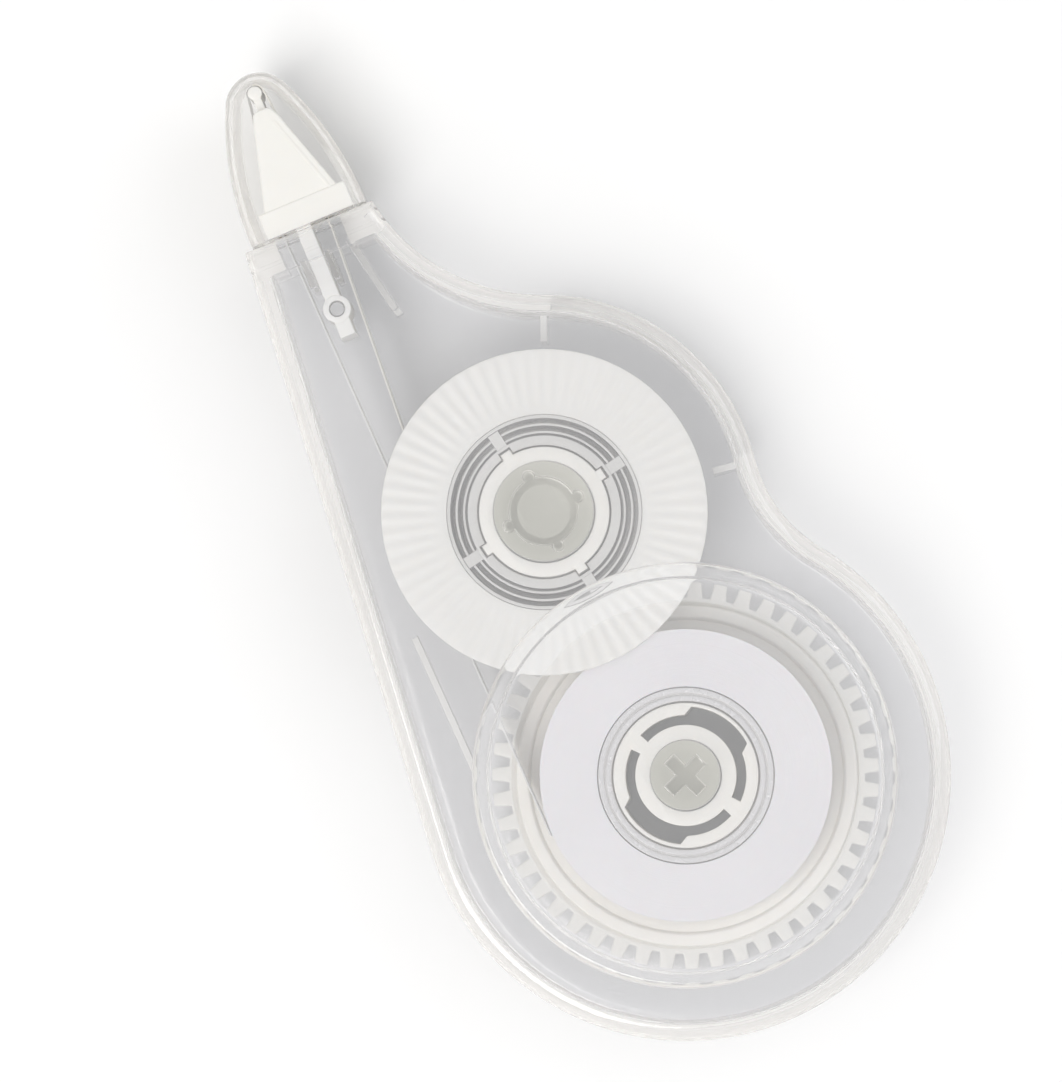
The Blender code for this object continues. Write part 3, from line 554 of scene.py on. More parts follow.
def body_shape(name, with_drum):
    """The whole casing as a hollow body with its collar, before it is parted into two shells."""
    shape = plate(name, [body_outline(0.0, 0.0)], 0.0, ROOF_OUTSIDE)
    round_rims(shape, RIM_ROUND, RIM_STEPS, (0.0, ROOF_OUTSIDE))
    if with_drum:
        drum = plate(name + "_drum", [circle(SUPPLY, DRUM_RADIUS, TURN_STEPS)], ROOF_INSIDE, DRUM_OUTSIDE)
        shape = join(shape, round_rims(drum, DRUM_ROUND, DRUM_STEPS, (DRUM_OUTSIDE,)))
    tools = [collar_groove(name + f"_groove_{i}", s) for i, s in enumerate(GROOVES)]
    tools.append(hollow_body(name + "_hollow", WALL, FLOOR, ROOF_INSIDE))
    if with_drum:
        outline = circle(SUPPLY, DRUM_INSIDE_RADIUS, TURN_STEPS)
        inside = plate(name + "_drum_hollow", [outline], PARTING, DRUM_INSIDE)
        tools.append(round_rims(inside, DRUM_ROUND, DRUM_STEPS, (DRUM_INSIDE,)))
    mouth = head_box(-COLLAR - 2.0 * SPARE, 2.0 * SPARE, *MOUTH_SIDES)
    tools.append(plate(name + "_mouth", [mouth], MOUTH_LOW, MOUTH_HIGH))
    return cut(shape, *tools)


def collar_groove(name, s):
    """A shallow ring cut round the collar."""
    ring = plate(name, [head_box(s, s + GROOVE_WIDTH, -FAR, FAR)], -SPARE, ROOF_OUTSIDE + SPARE)
    core = [body_outline(GROOVE_DEPTH, SPARE)]
    return cut(ring, plate(name + "_core", core, GROOVE_DEPTH, ROOF_OUTSIDE - GROOVE_DEPTH))


def flap_sector(spread, grow=0.0):
    """The stretch of the bulge's wall that the flap takes up, with some degrees added at each end."""
    inner, outer = BULGE_RADIUS - FLAP_DEPTH - grow, BULGE_RADIUS + WALL + grow
    return sector(TAKE_UP, inner, outer, FLAP_FROM - spread, FLAP_TO + spread)


def post(name, centre, radius, bore):
    """A hollow post with a step under the reel, rising from the floor."""
    foot = radius + POST_STEP
    profile = [(radius, POST_TOP), (radius, POST_STEP_TOP), (foot, POST_STEP_TOP), (foot, RIB_FROM),
               (bore, RIB_FROM), (bore, POST_TOP)]
    return turned(name, centre, profile, POST_SOFT, POST_SIDES)


def neck_ribs(name, low, high, stem_high):
    """A rib on each side of the head's stem and one beside the liner's way back."""
    ends = (STEM_RIB_END, EMBED - COLLAR)
    above, below = STEM_SIDES[1] + STEM_RIB_GAP, STEM_SIDES[0] - STEM_RIB_GAP
    return [plate(name + "_rib_above", [head_box(*ends, above, above + STEM_RIB)], low, stem_high, RIB_SOFT),
            plate(name + "_rib_below", [head_box(*ends, below - STEM_RIB, below)], low, stem_high, RIB_SOFT),
            plate(name + "_liner_rib", [ribbon(LINER_RIB, RIB)], low, high, RIB_SOFT)]


def back_shell():
    """Floor, wall, posts, peg and ribs."""
    shell = body_shape("back", with_drum=False)
    above = plate("above", [head_box(-FAR, FAR, -FAR, FAR)], PARTING, ROOF_OUTSIDE + 2.0 * SPARE)
    flap_gap = plate("flap_gap", [flap_sector(FLAP_SLIT)], FLAP_SILL, PARTING + SPARE)
    shell = cut(shell, above, flap_gap)
    peg = plate("peg", [circle(head_point(*PEG_AT), PEG_RADIUS, PEG_SIDES)], RIB_FROM, PEG_TOP, PEG_SOFT)
    rail = plate("tape_rail", [ribbon(TAPE_RAIL, RIB)], RIB_FROM, RIB_TOP, RAIL_SOFT)
    shell = join(shell, post("supply_post", SUPPLY, SUPPLY_POST, SUPPLY_POST_BORE),
                 post("take_up_post", TAKE_UP, TAKE_UP_POST, TAKE_UP_POST_BORE),
                 peg, rail, *neck_ribs("back", RIB_FROM, RIB_TOP, STEM_RIB_TOP))
    for degrees in (FLAP_FROM - FLAP_RIB_ASIDE, FLAP_TO + FLAP_RIB_ASIDE):
        ends = [polar(TAKE_UP, radius, degrees) for radius in (FLAP_RIB_FROM, FLAP_RIB_TO)]
        shell = join(shell, plate("flap_rib", [ribbon(ends, RIB)], RIB_FROM, FLAP_RIB_TOP, RIB_SOFT))
    show(shell, "back_shell", clear_back, "casing", ["lower_shell"])


def mark(name, outline, top):
    """A tool for the shallow dimple that a pin leaves in the face above it."""
    return plate(name, [outline], top - MARK_DEPTH, top + SPARE, MARK_SOFT)


def front_shell():
    """Roof with the raised drum, wall down to the parting line, the bulge's deep flap and the post pins."""
    shell = body_shape("front", with_drum=True)
    around = head_box(-FAR, FAR, -FAR, FAR)
    below = plate("below", [around, flap_sector(0.0)], -SPARE, PARTING + PARTING_GAP)
    under_flap = flap_sector(FLAP_TOOL_SPREAD, FLAP_TOOL_GROW)
    below_flap = plate("below_flap", [under_flap], -SPARE, FLAP_SILL + PARTING_GAP)
    shell = cut(shell, below, below_flap)
    cross = cross_outline(CROSS_ARM, CROSS_HALF_WIDTH, CROSS_TURN)
    into_roof = ROOF_INSIDE + EMBED
    tube = [(TUBE_OUTSIDE, into_roof), (TUBE_OUTSIDE, PIN_REACH),
            (TUBE_INSIDE, PIN_REACH), (TUBE_INSIDE, into_roof)]
    shell = join(shell, plate("cross_pin", [cross], PIN_REACH, DRUM_INSIDE + EMBED, CROSS_SOFT),
                 turned("tube_pin", TAKE_UP, tube, TUBE_SOFT, POST_SIDES))
    lug_angles = [90.0 * quarter + LUG_TURN for quarter in range(4)]
    for degrees in lug_angles:
        lug = circle(polar(TAKE_UP, LUG_AT, degrees), LUG_RADIUS, LUG_SIDES)
        shell = join(shell, plate("lug", [lug], PIN_REACH + LUG_RAISE, ROOF_INSIDE + LUG_RAISE))
    shell = join(shell, *neck_ribs("front", ROOF_RIB_FROM, into_roof, into_roof))
    round_marks = [circle(TAKE_UP, TUBE_OUTSIDE + MARK_GROW, POST_SIDES)]
    round_marks += [circle(polar(TAKE_UP, LUG_AT + MARK_GROW, degrees), LUG_RADIUS + MARK_GROW, PEG_SIDES)
                    for degrees in lug_angles]
    shell = cut(shell, *[mark("tube_mark", outline, ROOF_OUTSIDE) for outline in round_marks],
                mark("cross_mark", cross, DRUM_OUTSIDE))
    show(shell, "front_shell", clear_front, "casing", ["upper_shell"])


def cap():
    """Clear bullet-shaped cap, cut off square at the back, where it is open."""
    shell = plate("cap", [cap_outline(0.0, CAP_BACK - CAP_SPARE)], CAP_LOW, CAP_HIGH)
    shell = slim_towards_nose(round_rims(shell, CAP_ROUND, RIM_STEPS, (CAP_LOW, CAP_HIGH)), CAP_TAPER)
    low, high = CAP_LOW + CAP_WALL, CAP_HIGH - CAP_WALL
    inside = plate("cap_inside", [cap_outline(CAP_WALL, CAP_BACK - 2.0 * CAP_SPARE)], low, high)
    inside = round_rims(inside, CAP_ROUND - CAP_WALL, CAP_INSIDE_STEPS, (low, high))
    inside = slim_towards_nose(inside, CAP_TAPER)
    behind = plate("cap_behind", [head_box(-FAR, CAP_BACK, -FAR, FAR)], 0.0, ROOF_OUTSIDE)
    show(cut(shell, inside, behind), "tip_cover", clear_cap, "cap", ["tip_cap"], HEAD_FOOT)


# ---------------------------------------------------------------- head and tape

def head_plate(name, outline, low, high, soft=HEAD_SOFT):
    return plate(name, [[head_point(s, t) for s, t in outline]], low, high, soft)


def head():
    """Two cheeks with raised edge lines, the tongue and its bead between them, a slotted foot and the stem."""
    inside = (HEAD_LOW + CHEEK, HEAD_HIGH - CHEEK)
    neck = head_box(NECK_FROM, BEAD_AT, -NECK_HALF, NECK_HALF)
    bead = circle(head_point(BEAD_AT, 0.0), BEAD_RADIUS, BEAD_SIDES)
    boss = circle(head_point(*PEG_AT), BOSS_RADIUS, BEAD_SIDES)

    piece = head_plate("head", WEDGE, HEAD_LOW, HEAD_LOW + CHEEK)
    piece = join(piece, head_plate("front_cheek", WEDGE, HEAD_HIGH - CHEEK, HEAD_HIGH),
                 head_plate("tongue", TONGUE, HEAD_LOW + EMBED, HEAD_HIGH - EMBED, SLIM_SOFT),
                 plate("neck", [neck], TAPE_LOW - NECK_PROUD, TAPE_HIGH + NECK_PROUD, SLIM_SOFT),
                 plate("bead", [bead], TAPE_LOW - BEAD_PROUD, TAPE_HIGH + BEAD_PROUD, BEAD_SOFT),
                 plate("foot", [head_box(*FOOT_ENDS, *FOOT_SIDES)], HEAD_LOW - FOOT_PROUD,
                       HEAD_HIGH + FOOT_PROUD, HEAD_SOFT))
    piece = cut(piece, plate("feed_slot", [head_box(*SLOT_ENDS, *FEED_SLOT)], *inside),
                plate("liner_slot", [head_box(*SLOT_ENDS, *LINER_SLOT)], *inside))
    piece = join(piece, plate("stem", [head_box(*STEM_ENDS, *STEM_SIDES)], STEM_LOW, STEM_HIGH, STEM_SOFT),
                 plate("boss", [boss], STEM_LOW - BOSS_PROUD, STEM_HIGH + BOSS_PROUD, BOSS_SOFT),
                 head_plate("edge_line", EDGE_LINE, HEAD_HIGH - EDGE_LINE_SUNK, HEAD_HIGH + EDGE_LINE_PROUD,
                            SLIM_SOFT))
    around_peg = circle(head_point(*PEG_AT), PEG_RADIUS + PEG_CLEARANCE, PEG_SIDES)
    hole = plate("peg_hole", [around_peg], 0.0, ROOF_OUTSIDE)
    show(cut(piece, hole), "tape_head", white, "casing", ["transfer_head"], HEAD_FOOT)


def tape_runs():
    """The coated tape from the roll to the bead, and the bare liner from the bead to the take-up coil."""
    bead = head_point(BEAD_AT, 0.0)
    wrap = BEAD_RADIUS + TAPE_CLEARANCE
    ahead = bearing(bead, head_point(BEAD_AT + 1.0, 0.0))
    feed_guide, liner_guide = head_point(*FEED_GUIDE), head_point(*LINER_GUIDE)
    roll_touch = tangent_touch(feed_guide, SUPPLY, ROLL_RADIUS + TAPE_CLEARANCE, -1)
    coil_touch = tangent_touch(liner_guide, TAKE_UP, COIL_OUTSIDE + TAPE_CLEARANCE, -1)
    feed_wrap, liner_wrap = ([ahead + degrees for degrees in ends] for ends in (FEED_WRAP, LINER_WRAP))
    feed = [roll_touch, feed_guide] + arc(bead, wrap, *feed_wrap, WRAP_STEP)
    liner = arc(bead, wrap, *liner_wrap, WRAP_STEP) + [liner_guide, coil_touch]
    feed_strip = plate("feed", [ribbon(feed, TAPE_THICKNESS)], TAPE_LOW, TAPE_HIGH)
    show(feed_strip, "coated_tape", coated, "casing", ["feed_tape"])
    liner_strip = plate("liner", [ribbon(liner, TAPE_THICKNESS)], TAPE_LOW, TAPE_HIGH)
    show(liner_strip, "liner_strip", liner_film, "casing", ["return_liner"])


# ---------------------------------------------------------------- supply reel

def clutch_slots():
    """Two C-shaped slots that leave a sleeve, two bridges and two spring pads inside a thin ring."""
    narrow, wide = 90.0 - BRIDGE_HALF_ANGLE, 90.0 - PAD_HALF_ANGLE
    slots = []
    for middle in (HUB_TURN + 90.0, HUB_TURN + 270.0):
        slot = arc(SUPPLY, SLEEVE_RADIUS, middle - narrow, middle + narrow)
        slot += arc(SUPPLY, PAD_INSIDE, middle + narrow, middle + wide + PAD_SLANT / 2)
        slot += arc(SUPPLY, PAD_OUTSIDE, middle + wide - PAD_SLANT, middle - wide + PAD_SLANT)
        slot += arc(SUPPLY, PAD_INSIDE, middle - wide - PAD_SLANT / 2, middle - narrow)
        slots.append(slot)
    return slots


def drive_wheel():
    """Toothed wheel with a raised rim round the roll, a thin web and the slotted hub."""
    bore = circle(SUPPLY, SUPPLY_POST + RUNNING_GAP)
    hub = plate("hub", [circle(SUPPLY, HUB_RADIUS), bore, *clutch_slots()], HUB_BOTTOM, HUB_TOP, HUB_SOFT)
    teeth = gear_outline(SUPPLY, SUPPLY_TEETH, bearing(SUPPLY, TAKE_UP), WHEEL_TOOTH)
    wheel = plate("wheel", [teeth, circle(SUPPLY, HUB_RADIUS - HUB_LAP)], GEAR_BOTTOM, GEAR_TOP, WHEEL_SOFT)
    root = GEAR_TOP - EMBED
    rim = [(RIM_OUTSIDE, root), (RIM_OUTSIDE, RIM_TOP), (RIM_INSIDE + RIM_SLANT, RIM_TOP), (RIM_INSIDE, root)]
    show(join(wheel, hub, turned("rim", SUPPLY, rim, RIM_SOFT)), "drive_wheel", cream, "drive_gear",
         ["supply_gear"])


def supply_reel():
    """The clear core with a shallow groove in its face, and the wound tape with its uneven edge."""
    middle = (CORE_INSIDE + CORE_OUTSIDE) / 2
    core = [(CORE_OUTSIDE, TAPE_HIGH), (CORE_OUTSIDE, CORE_LOW), (CORE_INSIDE, CORE_LOW), (CORE_INSIDE, TAPE_HIGH),
            (middle - CORE_GROOVE_HALF, TAPE_HIGH), (middle, TAPE_HIGH - CORE_GROOVE_DEPTH),
            (middle + CORE_GROOVE_HALF, TAPE_HIGH)]
    show(turned("core", SUPPLY, core, CORE_SOFT), "tape_core", milky_core, "supply_reel",
         ["supply_core"])
    face = []
    for layer in range(ROLL_LAYERS + 1):
        radius = ROLL_RADIUS + (ROLL_INSIDE - ROLL_RADIUS) * layer / ROLL_LAYERS
        swell = LAYER_SWELL * math.sin(LAYER_SWELL_TURN * layer)
        face.append((radius, TAPE_HIGH - LAYER_STEP * (layer % 2) - swell))
    roll = face[::-1] + [(ROLL_RADIUS, TAPE_LOW), (ROLL_INSIDE, TAPE_LOW)]
    show(turned("roll", SUPPLY, roll), "tape_roll", wound, "supply_reel", ["supply_tape_roll"])


# ---------------------------------------------------------------- take-up reel

def take_up_pinion():
    """Pinion whose keyed sleeve carries the take-up spool."""
    phase = bearing(SUPPLY, TAKE_UP) + 180.0 * (1.0 + 1.0 / TAKE_UP_TEETH)
    teeth = gear_outline(TAKE_UP, TAKE_UP_TEETH, phase, PINION_TOOTH)
    wheel = plate("pinion", [teeth, circle(TAKE_UP, KEY_BASE - PINION_LAP)], GEAR_BOTTOM, GEAR_TOP, PINION_SOFT)
    keys = keyed_circle(KEY_BASE, KEY_TIP, KEY_HALF_WIDTH)
    bore = circle(TAKE_UP, TAKE_UP_POST + RUNNING_GAP)
    sleeve = plate("sleeve", [keys, bore], HUB_BOTTOM, SLEEVE_TOP, SLEEVE_SOFT)
    show(join(wheel, sleeve), "take_up_pinion", cream, "take_up_reel", ["take_up_gear"], TAKE_UP)


def take_up_spool():
    """Clear hub with thin ring walls and four ribs, in a wide milky flange with fine radial flutes; the coil."""
    keyway = keyed_circle(KEY_BASE + KEY_CLEARANCE, KEY_TIP + KEYWAY_DEPTH, KEY_HALF_WIDTH + KEYWAY_SIDE)
    hub = plate("hub_wall", [circle(TAKE_UP, HUB_WALL_OUTSIDE), keyway], SPOOL_LOW + HUB_WALL_RAISE, FLANGE_HIGH,
                HUB_SOFT)
    rings = [(SPOOL_CORE, HUB_WALL_TOP), (SPOOL_CORE, SPOOL_LOW), (GROOVE_INSIDE, SPOOL_LOW),
             (GROOVE_INSIDE, HUB_FLOOR)]
    for inner, outer in HUB_RINGS:
        rings += [(inner, HUB_FLOOR), (inner, RING_TOP), (outer, RING_TOP), (outer, HUB_FLOOR)]
    rings += [(GROOVE_OUTSIDE, HUB_FLOOR), (GROOVE_OUTSIDE, HUB_WALL_TOP)]
    hub = join(hub, turned("rings", TAKE_UP, rings, HUB_SOFT))
    for quarter in range(4):
        ends = [polar(TAKE_UP, radius, 90.0 * quarter) for radius in SPOOL_RIB_ENDS]
        rib = [ribbon(ends, SPOOL_RIB)]
        hub = join(hub, plate("rib", rib, HUB_FLOOR - SPOOL_RIB_SUNK, SPOOL_RIB_TOP, RIB_SOFT))
    show(hub, "spool_hub", clear_spool, "take_up_reel", ["take_up_spool"], TAKE_UP)
    show(fluted_disc(SPOOL_CORE + FLANGE_GAP, FLANGE_RADIUS, FLANGE_LOW, HUB_WALL_TOP), "spool_flange", frosted,
         "take_up_reel", [], TAKE_UP)

    coil = [(COIL_OUTSIDE, TAPE_HIGH), (COIL_OUTSIDE, TAPE_LOW), (COIL_INSIDE, TAPE_LOW), (COIL_INSIDE, TAPE_HIGH)]
    show(turned("coil", TAKE_UP, coil, COIL_SOFT), "liner_coil", liner_film, "take_up_reel",
         ["take_up_liner_coil"], TAKE_UP)


def fluted_disc(inner, outer, low, high):
    """A washer whose top face rises and falls in radial flutes that fade out towards the hub."""
    around, soft = FLUTES * FLUTE_COLUMNS, FLANGE_SOFT
    first, width = inner + FLANGE_EDGE, outer - soft - inner - FLANGE_EDGE
    section = []
    for row in range(FLANGE_ROWS + 1):
        radius = first + width * row / FLANGE_ROWS
        section.append((radius, high, min(1.0, max(0.0, (radius - inner - FLUTE_FROM) / FLUTE_FADE))))
    section += [(outer - 0.3 * soft, high - 0.3 * soft, 0.6), (outer, high - soft, 0.0),
                (outer, low + soft, 0.0), (outer - soft, low, 0.0), (inner, low, 0.0),
                (inner, high - FLANGE_EDGE, 0.0)]
    mesh = bmesh.new()
    rows = []
    for spoke in range(around):
        angle = 2.0 * math.pi * spoke / around
        wave = -0.5 - 0.5 * math.cos(2.0 * math.pi * spoke / FLUTE_COLUMNS)
        rows.append([mesh.verts.new(((TAKE_UP.x + radius * math.cos(angle)) * MM,
                                     (TAKE_UP.y + radius * math.sin(angle)) * MM,
                                     (height + FLUTE_DEPTH * wave * flute) * MM))
                     for radius, height, flute in section])
    for row, following in zip(rows, rows[1:] + rows[:1]):
        for k in range(len(section)):
            after = (k + 1) % len(section)
            mesh.faces.new((row[k], row[after], following[after], following[k]))
    bmesh.ops.recalc_face_normals(mesh, faces=mesh.faces)
    data = bpy.data.meshes.new("flange")
    mesh.to_mesh(data)
    mesh.free()
    solid = bpy.data.objects.new("flange", data)
    bpy.context.scene.collection.objects.link(solid)
    return solid


# ---------------------------------------------------------------- materials

def add(tree, kind, inputs=None, **settings):
    """Add a shader node; an input is a value or another node's output."""
    made = tree.nodes.new("ShaderNode" + kind)
    for key, value in settings.items():
        setattr(made, key, value)
    for key, value in (inputs or {}).items():
        if isinstance(value, bpy.types.NodeSocket):
            tree.links.new(value, made.inputs[key])
        else:
            made.inputs[key].default_value = value
    return made


def calc(tree, operation, *values):
    """The result of a maths node on numbers and other nodes' outputs."""
    return add(tree, "Math", dict(enumerate(values)), operation=operation).outputs[0]


def new_material(name):
    made = bpy.data.materials.new(name)
    made.use_nodes = True
    made.node_tree.nodes.clear()
    return made, made.node_tree


def surface_noise(tree, size, detail=3.0):
    """Noise whose features are about size millimetres across."""
    place = add(tree, "TexCoord").outputs["Object"]
    noise = add(tree, "TexNoise", {"Vector": place, "Scale": 1.0 / (size * MM), "Detail": detail})
    return noise.outputs["Fac"]


def spread(tree, noise, low=0.0, high=1.0):
    """Map the middle of a noise's values to a range."""
    ranges = {"Value": noise, "From Min": 0.3, "From Max": 0.7, "To Min": low, "To Max": high}
    return add(tree, "MapRange", ranges).outputs["Result"]


def level_share(tree, source, low, high):
    """How far a value lies between two bounds, from 0 at low to 1 at high."""
    return add(tree, "MapRange", {"Value": source, "From Min": low, "From Max": high}).outputs["Result"]


def blend(tree, share, first, second):
    """Mix two colours by a share from 0 to 1; either may be another node's output."""
    colour = add(tree, "Mix", data_type="RGBA")
    tree.links.new(share, colour.inputs["Factor"])
    for key, value in (("A", first), ("B", second)):
        if isinstance(value, bpy.types.NodeSocket):
            tree.links.new(value, colour.inputs[key])
        else:
            colour.inputs[key].default_value = (*value, 1.0)
    return colour.outputs["Result"]


def slope_share(tree):
    """0 on level faces and 1 on steep ones, such as walls and rounded rims."""
    facing = add(tree, "SeparateXYZ", {"Vector": add(tree, "NewGeometry").outputs["Normal"]})
    return level_share(tree, calc(tree, "ABSOLUTE", facing.outputs["Z"]), LEVEL_Z, STEEP_Z)


def largest(tree, shares):
    """The largest of several values."""
    found = shares[0]
    for share in shares[1:]:
        found = calc(tree, "MAXIMUM", found, share)
    return found


def distance_in_plan(tree, centre=(0.0, 0.0)):
    """How far a point is from an upright line in the object's frame, in metres."""
    place = add(tree, "TexCoord").outputs["Object"]
    flat = add(tree, "VectorMath", {0: place, 1: (1.0, 1.0, 0.0)}, operation="MULTIPLY").outputs["Vector"]
    foot = (centre[0] * MM, centre[1] * MM, 0.0)
    return add(tree, "VectorMath", {0: flat, 1: foot}, operation="DISTANCE").outputs["Value"]


def within(tree, centre, radius):
    """1 inside an upright cylinder in the object's frame, 0 outside."""
    away = distance_in_plan(tree, centre)
    return level_share(tree, away, (radius + SPOT_FADE) * MM, (radius - SPOT_FADE) * MM)


def at_height(tree, height):
    """1 on faces that lie at a height in the object's frame, 0 elsewhere."""
    place = add(tree, "SeparateXYZ", {"Vector": add(tree, "TexCoord").outputs["Object"]})
    return calc(tree, "COMPARE", place.outputs["Z"], height * MM, END_BAND * MM)


def clear_plastic(name, tint, passed, clearness=0.88, rough=(0.015, 0.05), edge_haze=0.22,
                  ends=(), spots=(), ring=None):
    """Moulded plastic with flow waviness and a milky haze; light gets inside through a clear stand-in.

    The haze is stronger on steep faces, on end faces at some heights, in matt spots and over a raised ring."""
    made, tree = new_material(name)
    waves = surface_noise(tree, size=6.0, detail=1.0)
    grain = surface_noise(tree, size=1.2)
    steep = slope_share(tree)
    level = calc(tree, "SUBTRACT", 1.0, steep)
    waviness = calc(tree, "MULTIPLY", level, 0.08)
    bump = add(tree, "Bump", {"Height": waves, "Strength": waviness, "Distance": 0.06 * MM})

    hazes = [calc(tree, "MULTIPLY", steep, edge_haze)]
    edges = steep
    if ends:
        on_end = largest(tree, [at_height(tree, height) for height in ends])
        hazes.append(calc(tree, "MULTIPLY", on_end, END_HAZE))
        edges = largest(tree, [steep, on_end])
    if ring:
        centre, inner, outer = ring
        hollow = calc(tree, "SUBTRACT", 1.0, within(tree, centre, inner))
        raised = calc(tree, "MULTIPLY", within(tree, centre, outer), hollow)
        hazes.append(calc(tree, "MULTIPLY", raised, RING_HAZE))
    colour = blend(tree, edges, tint, EDGE_TINT)
    if spots:
        matt = calc(tree, "MULTIPLY", largest(tree, [within(tree, *spot) for spot in spots]), level)
        hazes.append(calc(tree, "MULTIPLY", matt, SPOT_HAZE))
        colour = blend(tree, matt, colour, SPOT_TINT)

    shader = add(tree, "BsdfPrincipled", {
        "Base Color": colour, "IOR": 1.52,
        "Transmission Weight": calc(tree, "SUBTRACT", clearness, largest(tree, hazes)),
        "Roughness": calc(tree, "MULTIPLY_ADD", steep, EDGE_BLUR, spread(tree, grain, *rough)),
        "Normal": bump.outputs["Normal"]})
    through = add(tree, "BsdfTransparent", {"Color": (*passed, 1.0)})
    path = add(tree, "LightPath").outputs
    indirect = calc(tree, "MAXIMUM", path["Is Shadow Ray"], path["Is Diffuse Ray"])
    mix = add(tree, "MixShader", {0: indirect, 1: shader.outputs[0], 2: through.outputs[0]})
    add(tree, "OutputMaterial", {"Surface": mix.outputs[0]})
    return made


def moulded(name, pale, dark, rough, scatter=0.0, alpha=1.0, shade_beyond=None):
    """Satin moulded plastic: faint mottling, fine grain, some light under the surface, and painted shade past a
    radius.
    """
    made, tree = new_material(name)
    mottle = surface_noise(tree, size=4.0)
    grain = surface_noise(tree, size=0.5, detail=4.0)
    colour = blend(tree, spread(tree, mottle), dark, pale)
    # Painted shade: past the radius the colour turns darker, standing in for the shade on the lower web and teeth
    if shade_beyond:
        radius, painted_shade = shade_beyond
        colour = blend(tree, within(tree, SUPPLY, radius), painted_shade, colour)
    bump = add(tree, "Bump", {"Height": grain, "Strength": 0.25, "Distance": 0.01 * MM})
    shader = add(tree, "BsdfPrincipled", {
        "Base Color": colour, "Alpha": alpha, "Subsurface Weight": scatter,
        "Subsurface Radius": (1.0, 0.9, 0.8), "Subsurface Scale": 1.2 * MM,
        "Roughness": spread(tree, grain, *rough), "Normal": bump.outputs["Normal"]})
    add(tree, "OutputMaterial", {"Surface": shader.outputs[0]})
    return made


def wound_edges(name, pale, dark):
    """The edge of wound tape: fine rings about the object's axis, and a slow change of tint across the roll."""
    made, tree = new_material(name)
    scale = {"W": distance_in_plan(tree), "Scale": 1.0 / (0.12 * MM), "Detail": 2.0}
    rings = add(tree, "TexNoise", scale, noise_dimensions="1D").outputs["Fac"]
    broad = surface_noise(tree, size=9.0, detail=1.0)
    colour = blend(tree, level_share(tree, calc(tree, "ADD", rings, broad), 0.7, 1.3), dark, pale)
    bump = add(tree, "Bump", {"Height": rings, "Strength": 0.3, "Distance": 0.02 * MM})
    shader = add(tree, "BsdfPrincipled", {
        "Base Color": colour, "Subsurface Weight": 0.1, "Subsurface Scale": 0.6 * MM,
        "Roughness": spread(tree, rings, 0.5, 0.68), "Normal": bump.outputs["Normal"]})
    add(tree, "OutputMaterial", {"Surface": shader.outputs[0]})
    return made


# ---------------------------------------------------------------- stage

def on_screen(right, up):
    """A plan direction given as the reference view shows it."""
    across = Vector((math.cos(VIEW_TURN), math.sin(VIEW_TURN)))
    upward = Vector((-math.sin(VIEW_TURN), math.cos(VIEW_TURN)))
    return across * right + upward * up


def aim(obj, place, target, upward):
    """Put a camera or lamp at a place, looking at a target, with its top towards upward."""
    back = (place - target).normalized()
    right = upward.cross(back).normalized()
    turn = Matrix((right, back.cross(right), back)).transposed().to_4x4()
    obj.matrix_world = Matrix.Translation(place * MM) @ turn


def camera():
    """Long lens from the height that the reference view has, aimed at the middle of the object."""
    upward = on_screen(0.0, 1.0).to_3d()
    low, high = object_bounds()
    middle = (low + high) / 2 / MM
    offset = SUPPLY + on_screen(*VIEW_OFFSET)
    data = bpy.data.cameras.new("camera")
    data.sensor_fit = "VERTICAL"
    data.sensor_height = SENSOR
    data.sensor_width = SENSOR * IMAGE_SIZE[0] / IMAGE_SIZE[1]
    data.lens = data.sensor_height * VIEW_HEIGHT / VIEW_SPAN
    data.clip_start, data.clip_end = CLIP
    made = bpy.data.objects.new("camera", data)
    bpy.context.scene.collection.objects.link(made)
    aim(made, Vector((offset.x, offset.y, VIEW_HEIGHT)), middle, upward)
    bpy.context.scene.camera = made


def softbox(name, right, up, height, size, watts, tint):
    """A square area lamp placed by its direction in the reference view."""
    data = bpy.data.lights.new(name, "AREA")
    data.shape = "SQUARE"
    data.size = size * MM
    data.energy = watts
    data.color = tint
    made = bpy.data.objects.new(name, data)
    bpy.context.scene.collection.objects.link(made)
    middle = on_screen(*LIGHTS_AIM)
    plan = middle + on_screen(right, up)
    aim(made, Vector((plan.x, plan.y, height)), Vector((middle.x, middle.y, 0.0)), Vector((0.0, 0.0, 1.0)))


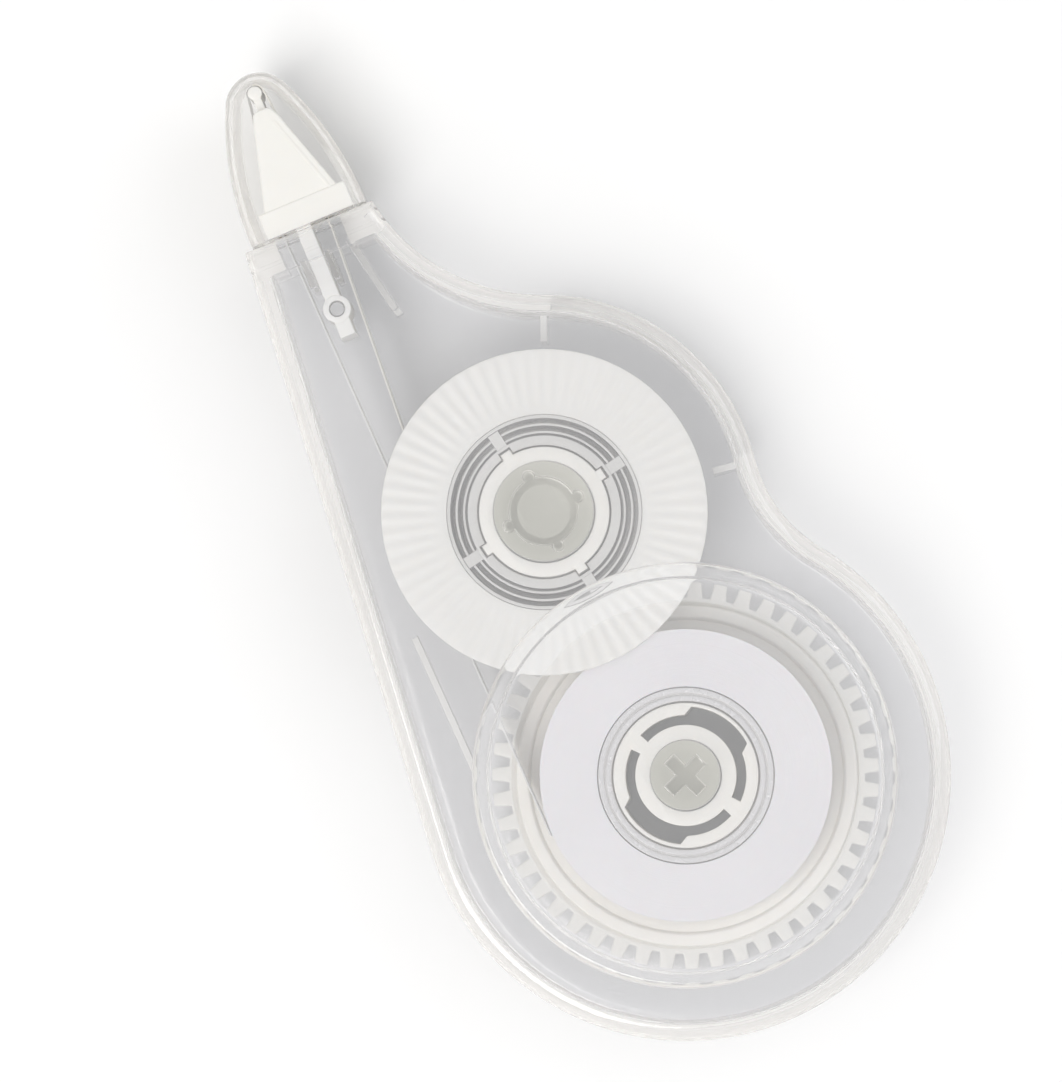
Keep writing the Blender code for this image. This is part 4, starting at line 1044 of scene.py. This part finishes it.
def stage():
    """Pale table, soft boxes and a sky that is bright overhead and grey towards the horizon."""
    corners = [Vector((x, y)) * TABLE_HALF for x, y in ((-1, -1), (1, -1), (1, 1), (-1, 1))]
    table = plate("table", [corners], TABLE_LOW, TABLE_TOP)
    made, tree = new_material("table_top")
    mottle = surface_noise(tree, size=40.0)
    colour = blend(tree, mottle, (0.90, 0.90, 0.905), (0.93, 0.93, 0.93))
    shader = add(tree, "BsdfPrincipled", {"Base Color": colour, "Roughness": 0.7})
    add(tree, "OutputMaterial", {"Surface": shader.outputs[0]})
    table.data.materials.append(made)
    table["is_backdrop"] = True

    softbox("key", right=-270.0, up=-330.0, height=760.0, size=450.0, watts=3.75, tint=(1.0, 0.985, 0.96))
    softbox("fill", right=600.0, up=300.0, height=520.0, size=500.0, watts=1.2, tint=(0.93, 0.96, 1.0))

    world = bpy.data.worlds.new("sky")
    world.use_nodes = True
    tree = world.node_tree
    tree.nodes.clear()
    direction = add(tree, "SeparateXYZ", {"Vector": add(tree, "TexCoord").outputs["Generated"]})
    ramp = add(tree, "ValToRGB", {"Fac": direction.outputs["Z"]})
    horizon, overhead = ramp.color_ramp.elements
    horizon.position, horizon.color = 0.0, (0.58, 0.575, 0.57, 1.0)
    overhead.position, overhead.color = 0.75, (1.0, 1.0, 1.0, 1.0)
    sky = add(tree, "Background", {"Color": ramp.outputs["Color"], "Strength": 0.7})
    add(tree, "OutputWorld", {"Surface": sky.outputs[0]})
    bpy.context.scene.world = world
    bpy.context.scene.view_settings.view_transform = "Standard"


# ---------------------------------------------------------------- assembly

shell_passed = (0.915, 0.915, 0.918)
shell_joints = (PARTING, PARTING + PARTING_GAP, FLAP_SILL, FLAP_SILL + PARTING_GAP)
clear_back = clear_plastic("clear_shell", (0.893, 0.893, 0.9), shell_passed,
                           ends=(*shell_joints, RIB_TOP, STEM_RIB_TOP, FLAP_RIB_TOP))
clear_front = clear_plastic("clear_front", (0.905, 0.905, 0.912), shell_passed, edge_haze=0.3,
                            ends=(*shell_joints, PIN_REACH),
                            spots=((SUPPLY, SUPPLY_POST), (TAKE_UP, TAKE_UP_POST)),
                            ring=(SUPPLY, RING_HAZE_FROM, DRUM_RADIUS))
clear_cap = clear_plastic("clear_cap", (0.955, 0.952, 0.95), (0.95, 0.948, 0.94), clearness=0.91)
clear_spool = clear_plastic("clear_spool", (0.94, 0.935, 0.94), (0.9, 0.9, 0.905), clearness=0.82,
                            rough=(0.04, 0.1), edge_haze=0.3,
                            ends=(HUB_WALL_TOP, RING_TOP, SPOOL_RIB_TOP, FLANGE_HIGH))
milky_core = clear_plastic("milky_core", (0.94, 0.93, 0.945), (0.93, 0.93, 0.935), clearness=0.3,
                           rough=(0.2, 0.3), edge_haze=0.1)
frosted = moulded("frosted", (0.995, 0.972, 0.923), (0.978, 0.955, 0.903), (0.32, 0.5), scatter=0.3, alpha=0.9)
# The cream's darker colour past the rim is painted shade on the wheel's web and teeth, which lie lower than the
# rim
cream = moulded("cream", (0.955, 0.927, 0.872), (0.935, 0.902, 0.842), (0.35, 0.5), scatter=0.25,
                shade_beyond=(RIM_OUTSIDE, (0.755, 0.735, 0.69)))
white = moulded("white", (0.95, 0.935, 0.9), (0.93, 0.915, 0.88), (0.28, 0.42), scatter=0.3)
coated = moulded("coated", (0.97, 0.96, 0.955), (0.95, 0.94, 0.935), (0.5, 0.65), alpha=0.6)
liner_film = moulded("liner_film", (0.89, 0.86, 0.79), (0.86, 0.82, 0.75), (0.25, 0.4), alpha=0.85)
wound = wound_edges("wound", (0.87, 0.85, 0.875), (0.82, 0.8, 0.83))

back_shell()
front_shell()
cap()
head()
tape_runs()
drive_wheel()
supply_reel()
take_up_pinion()
take_up_spool()
camera()
stage()
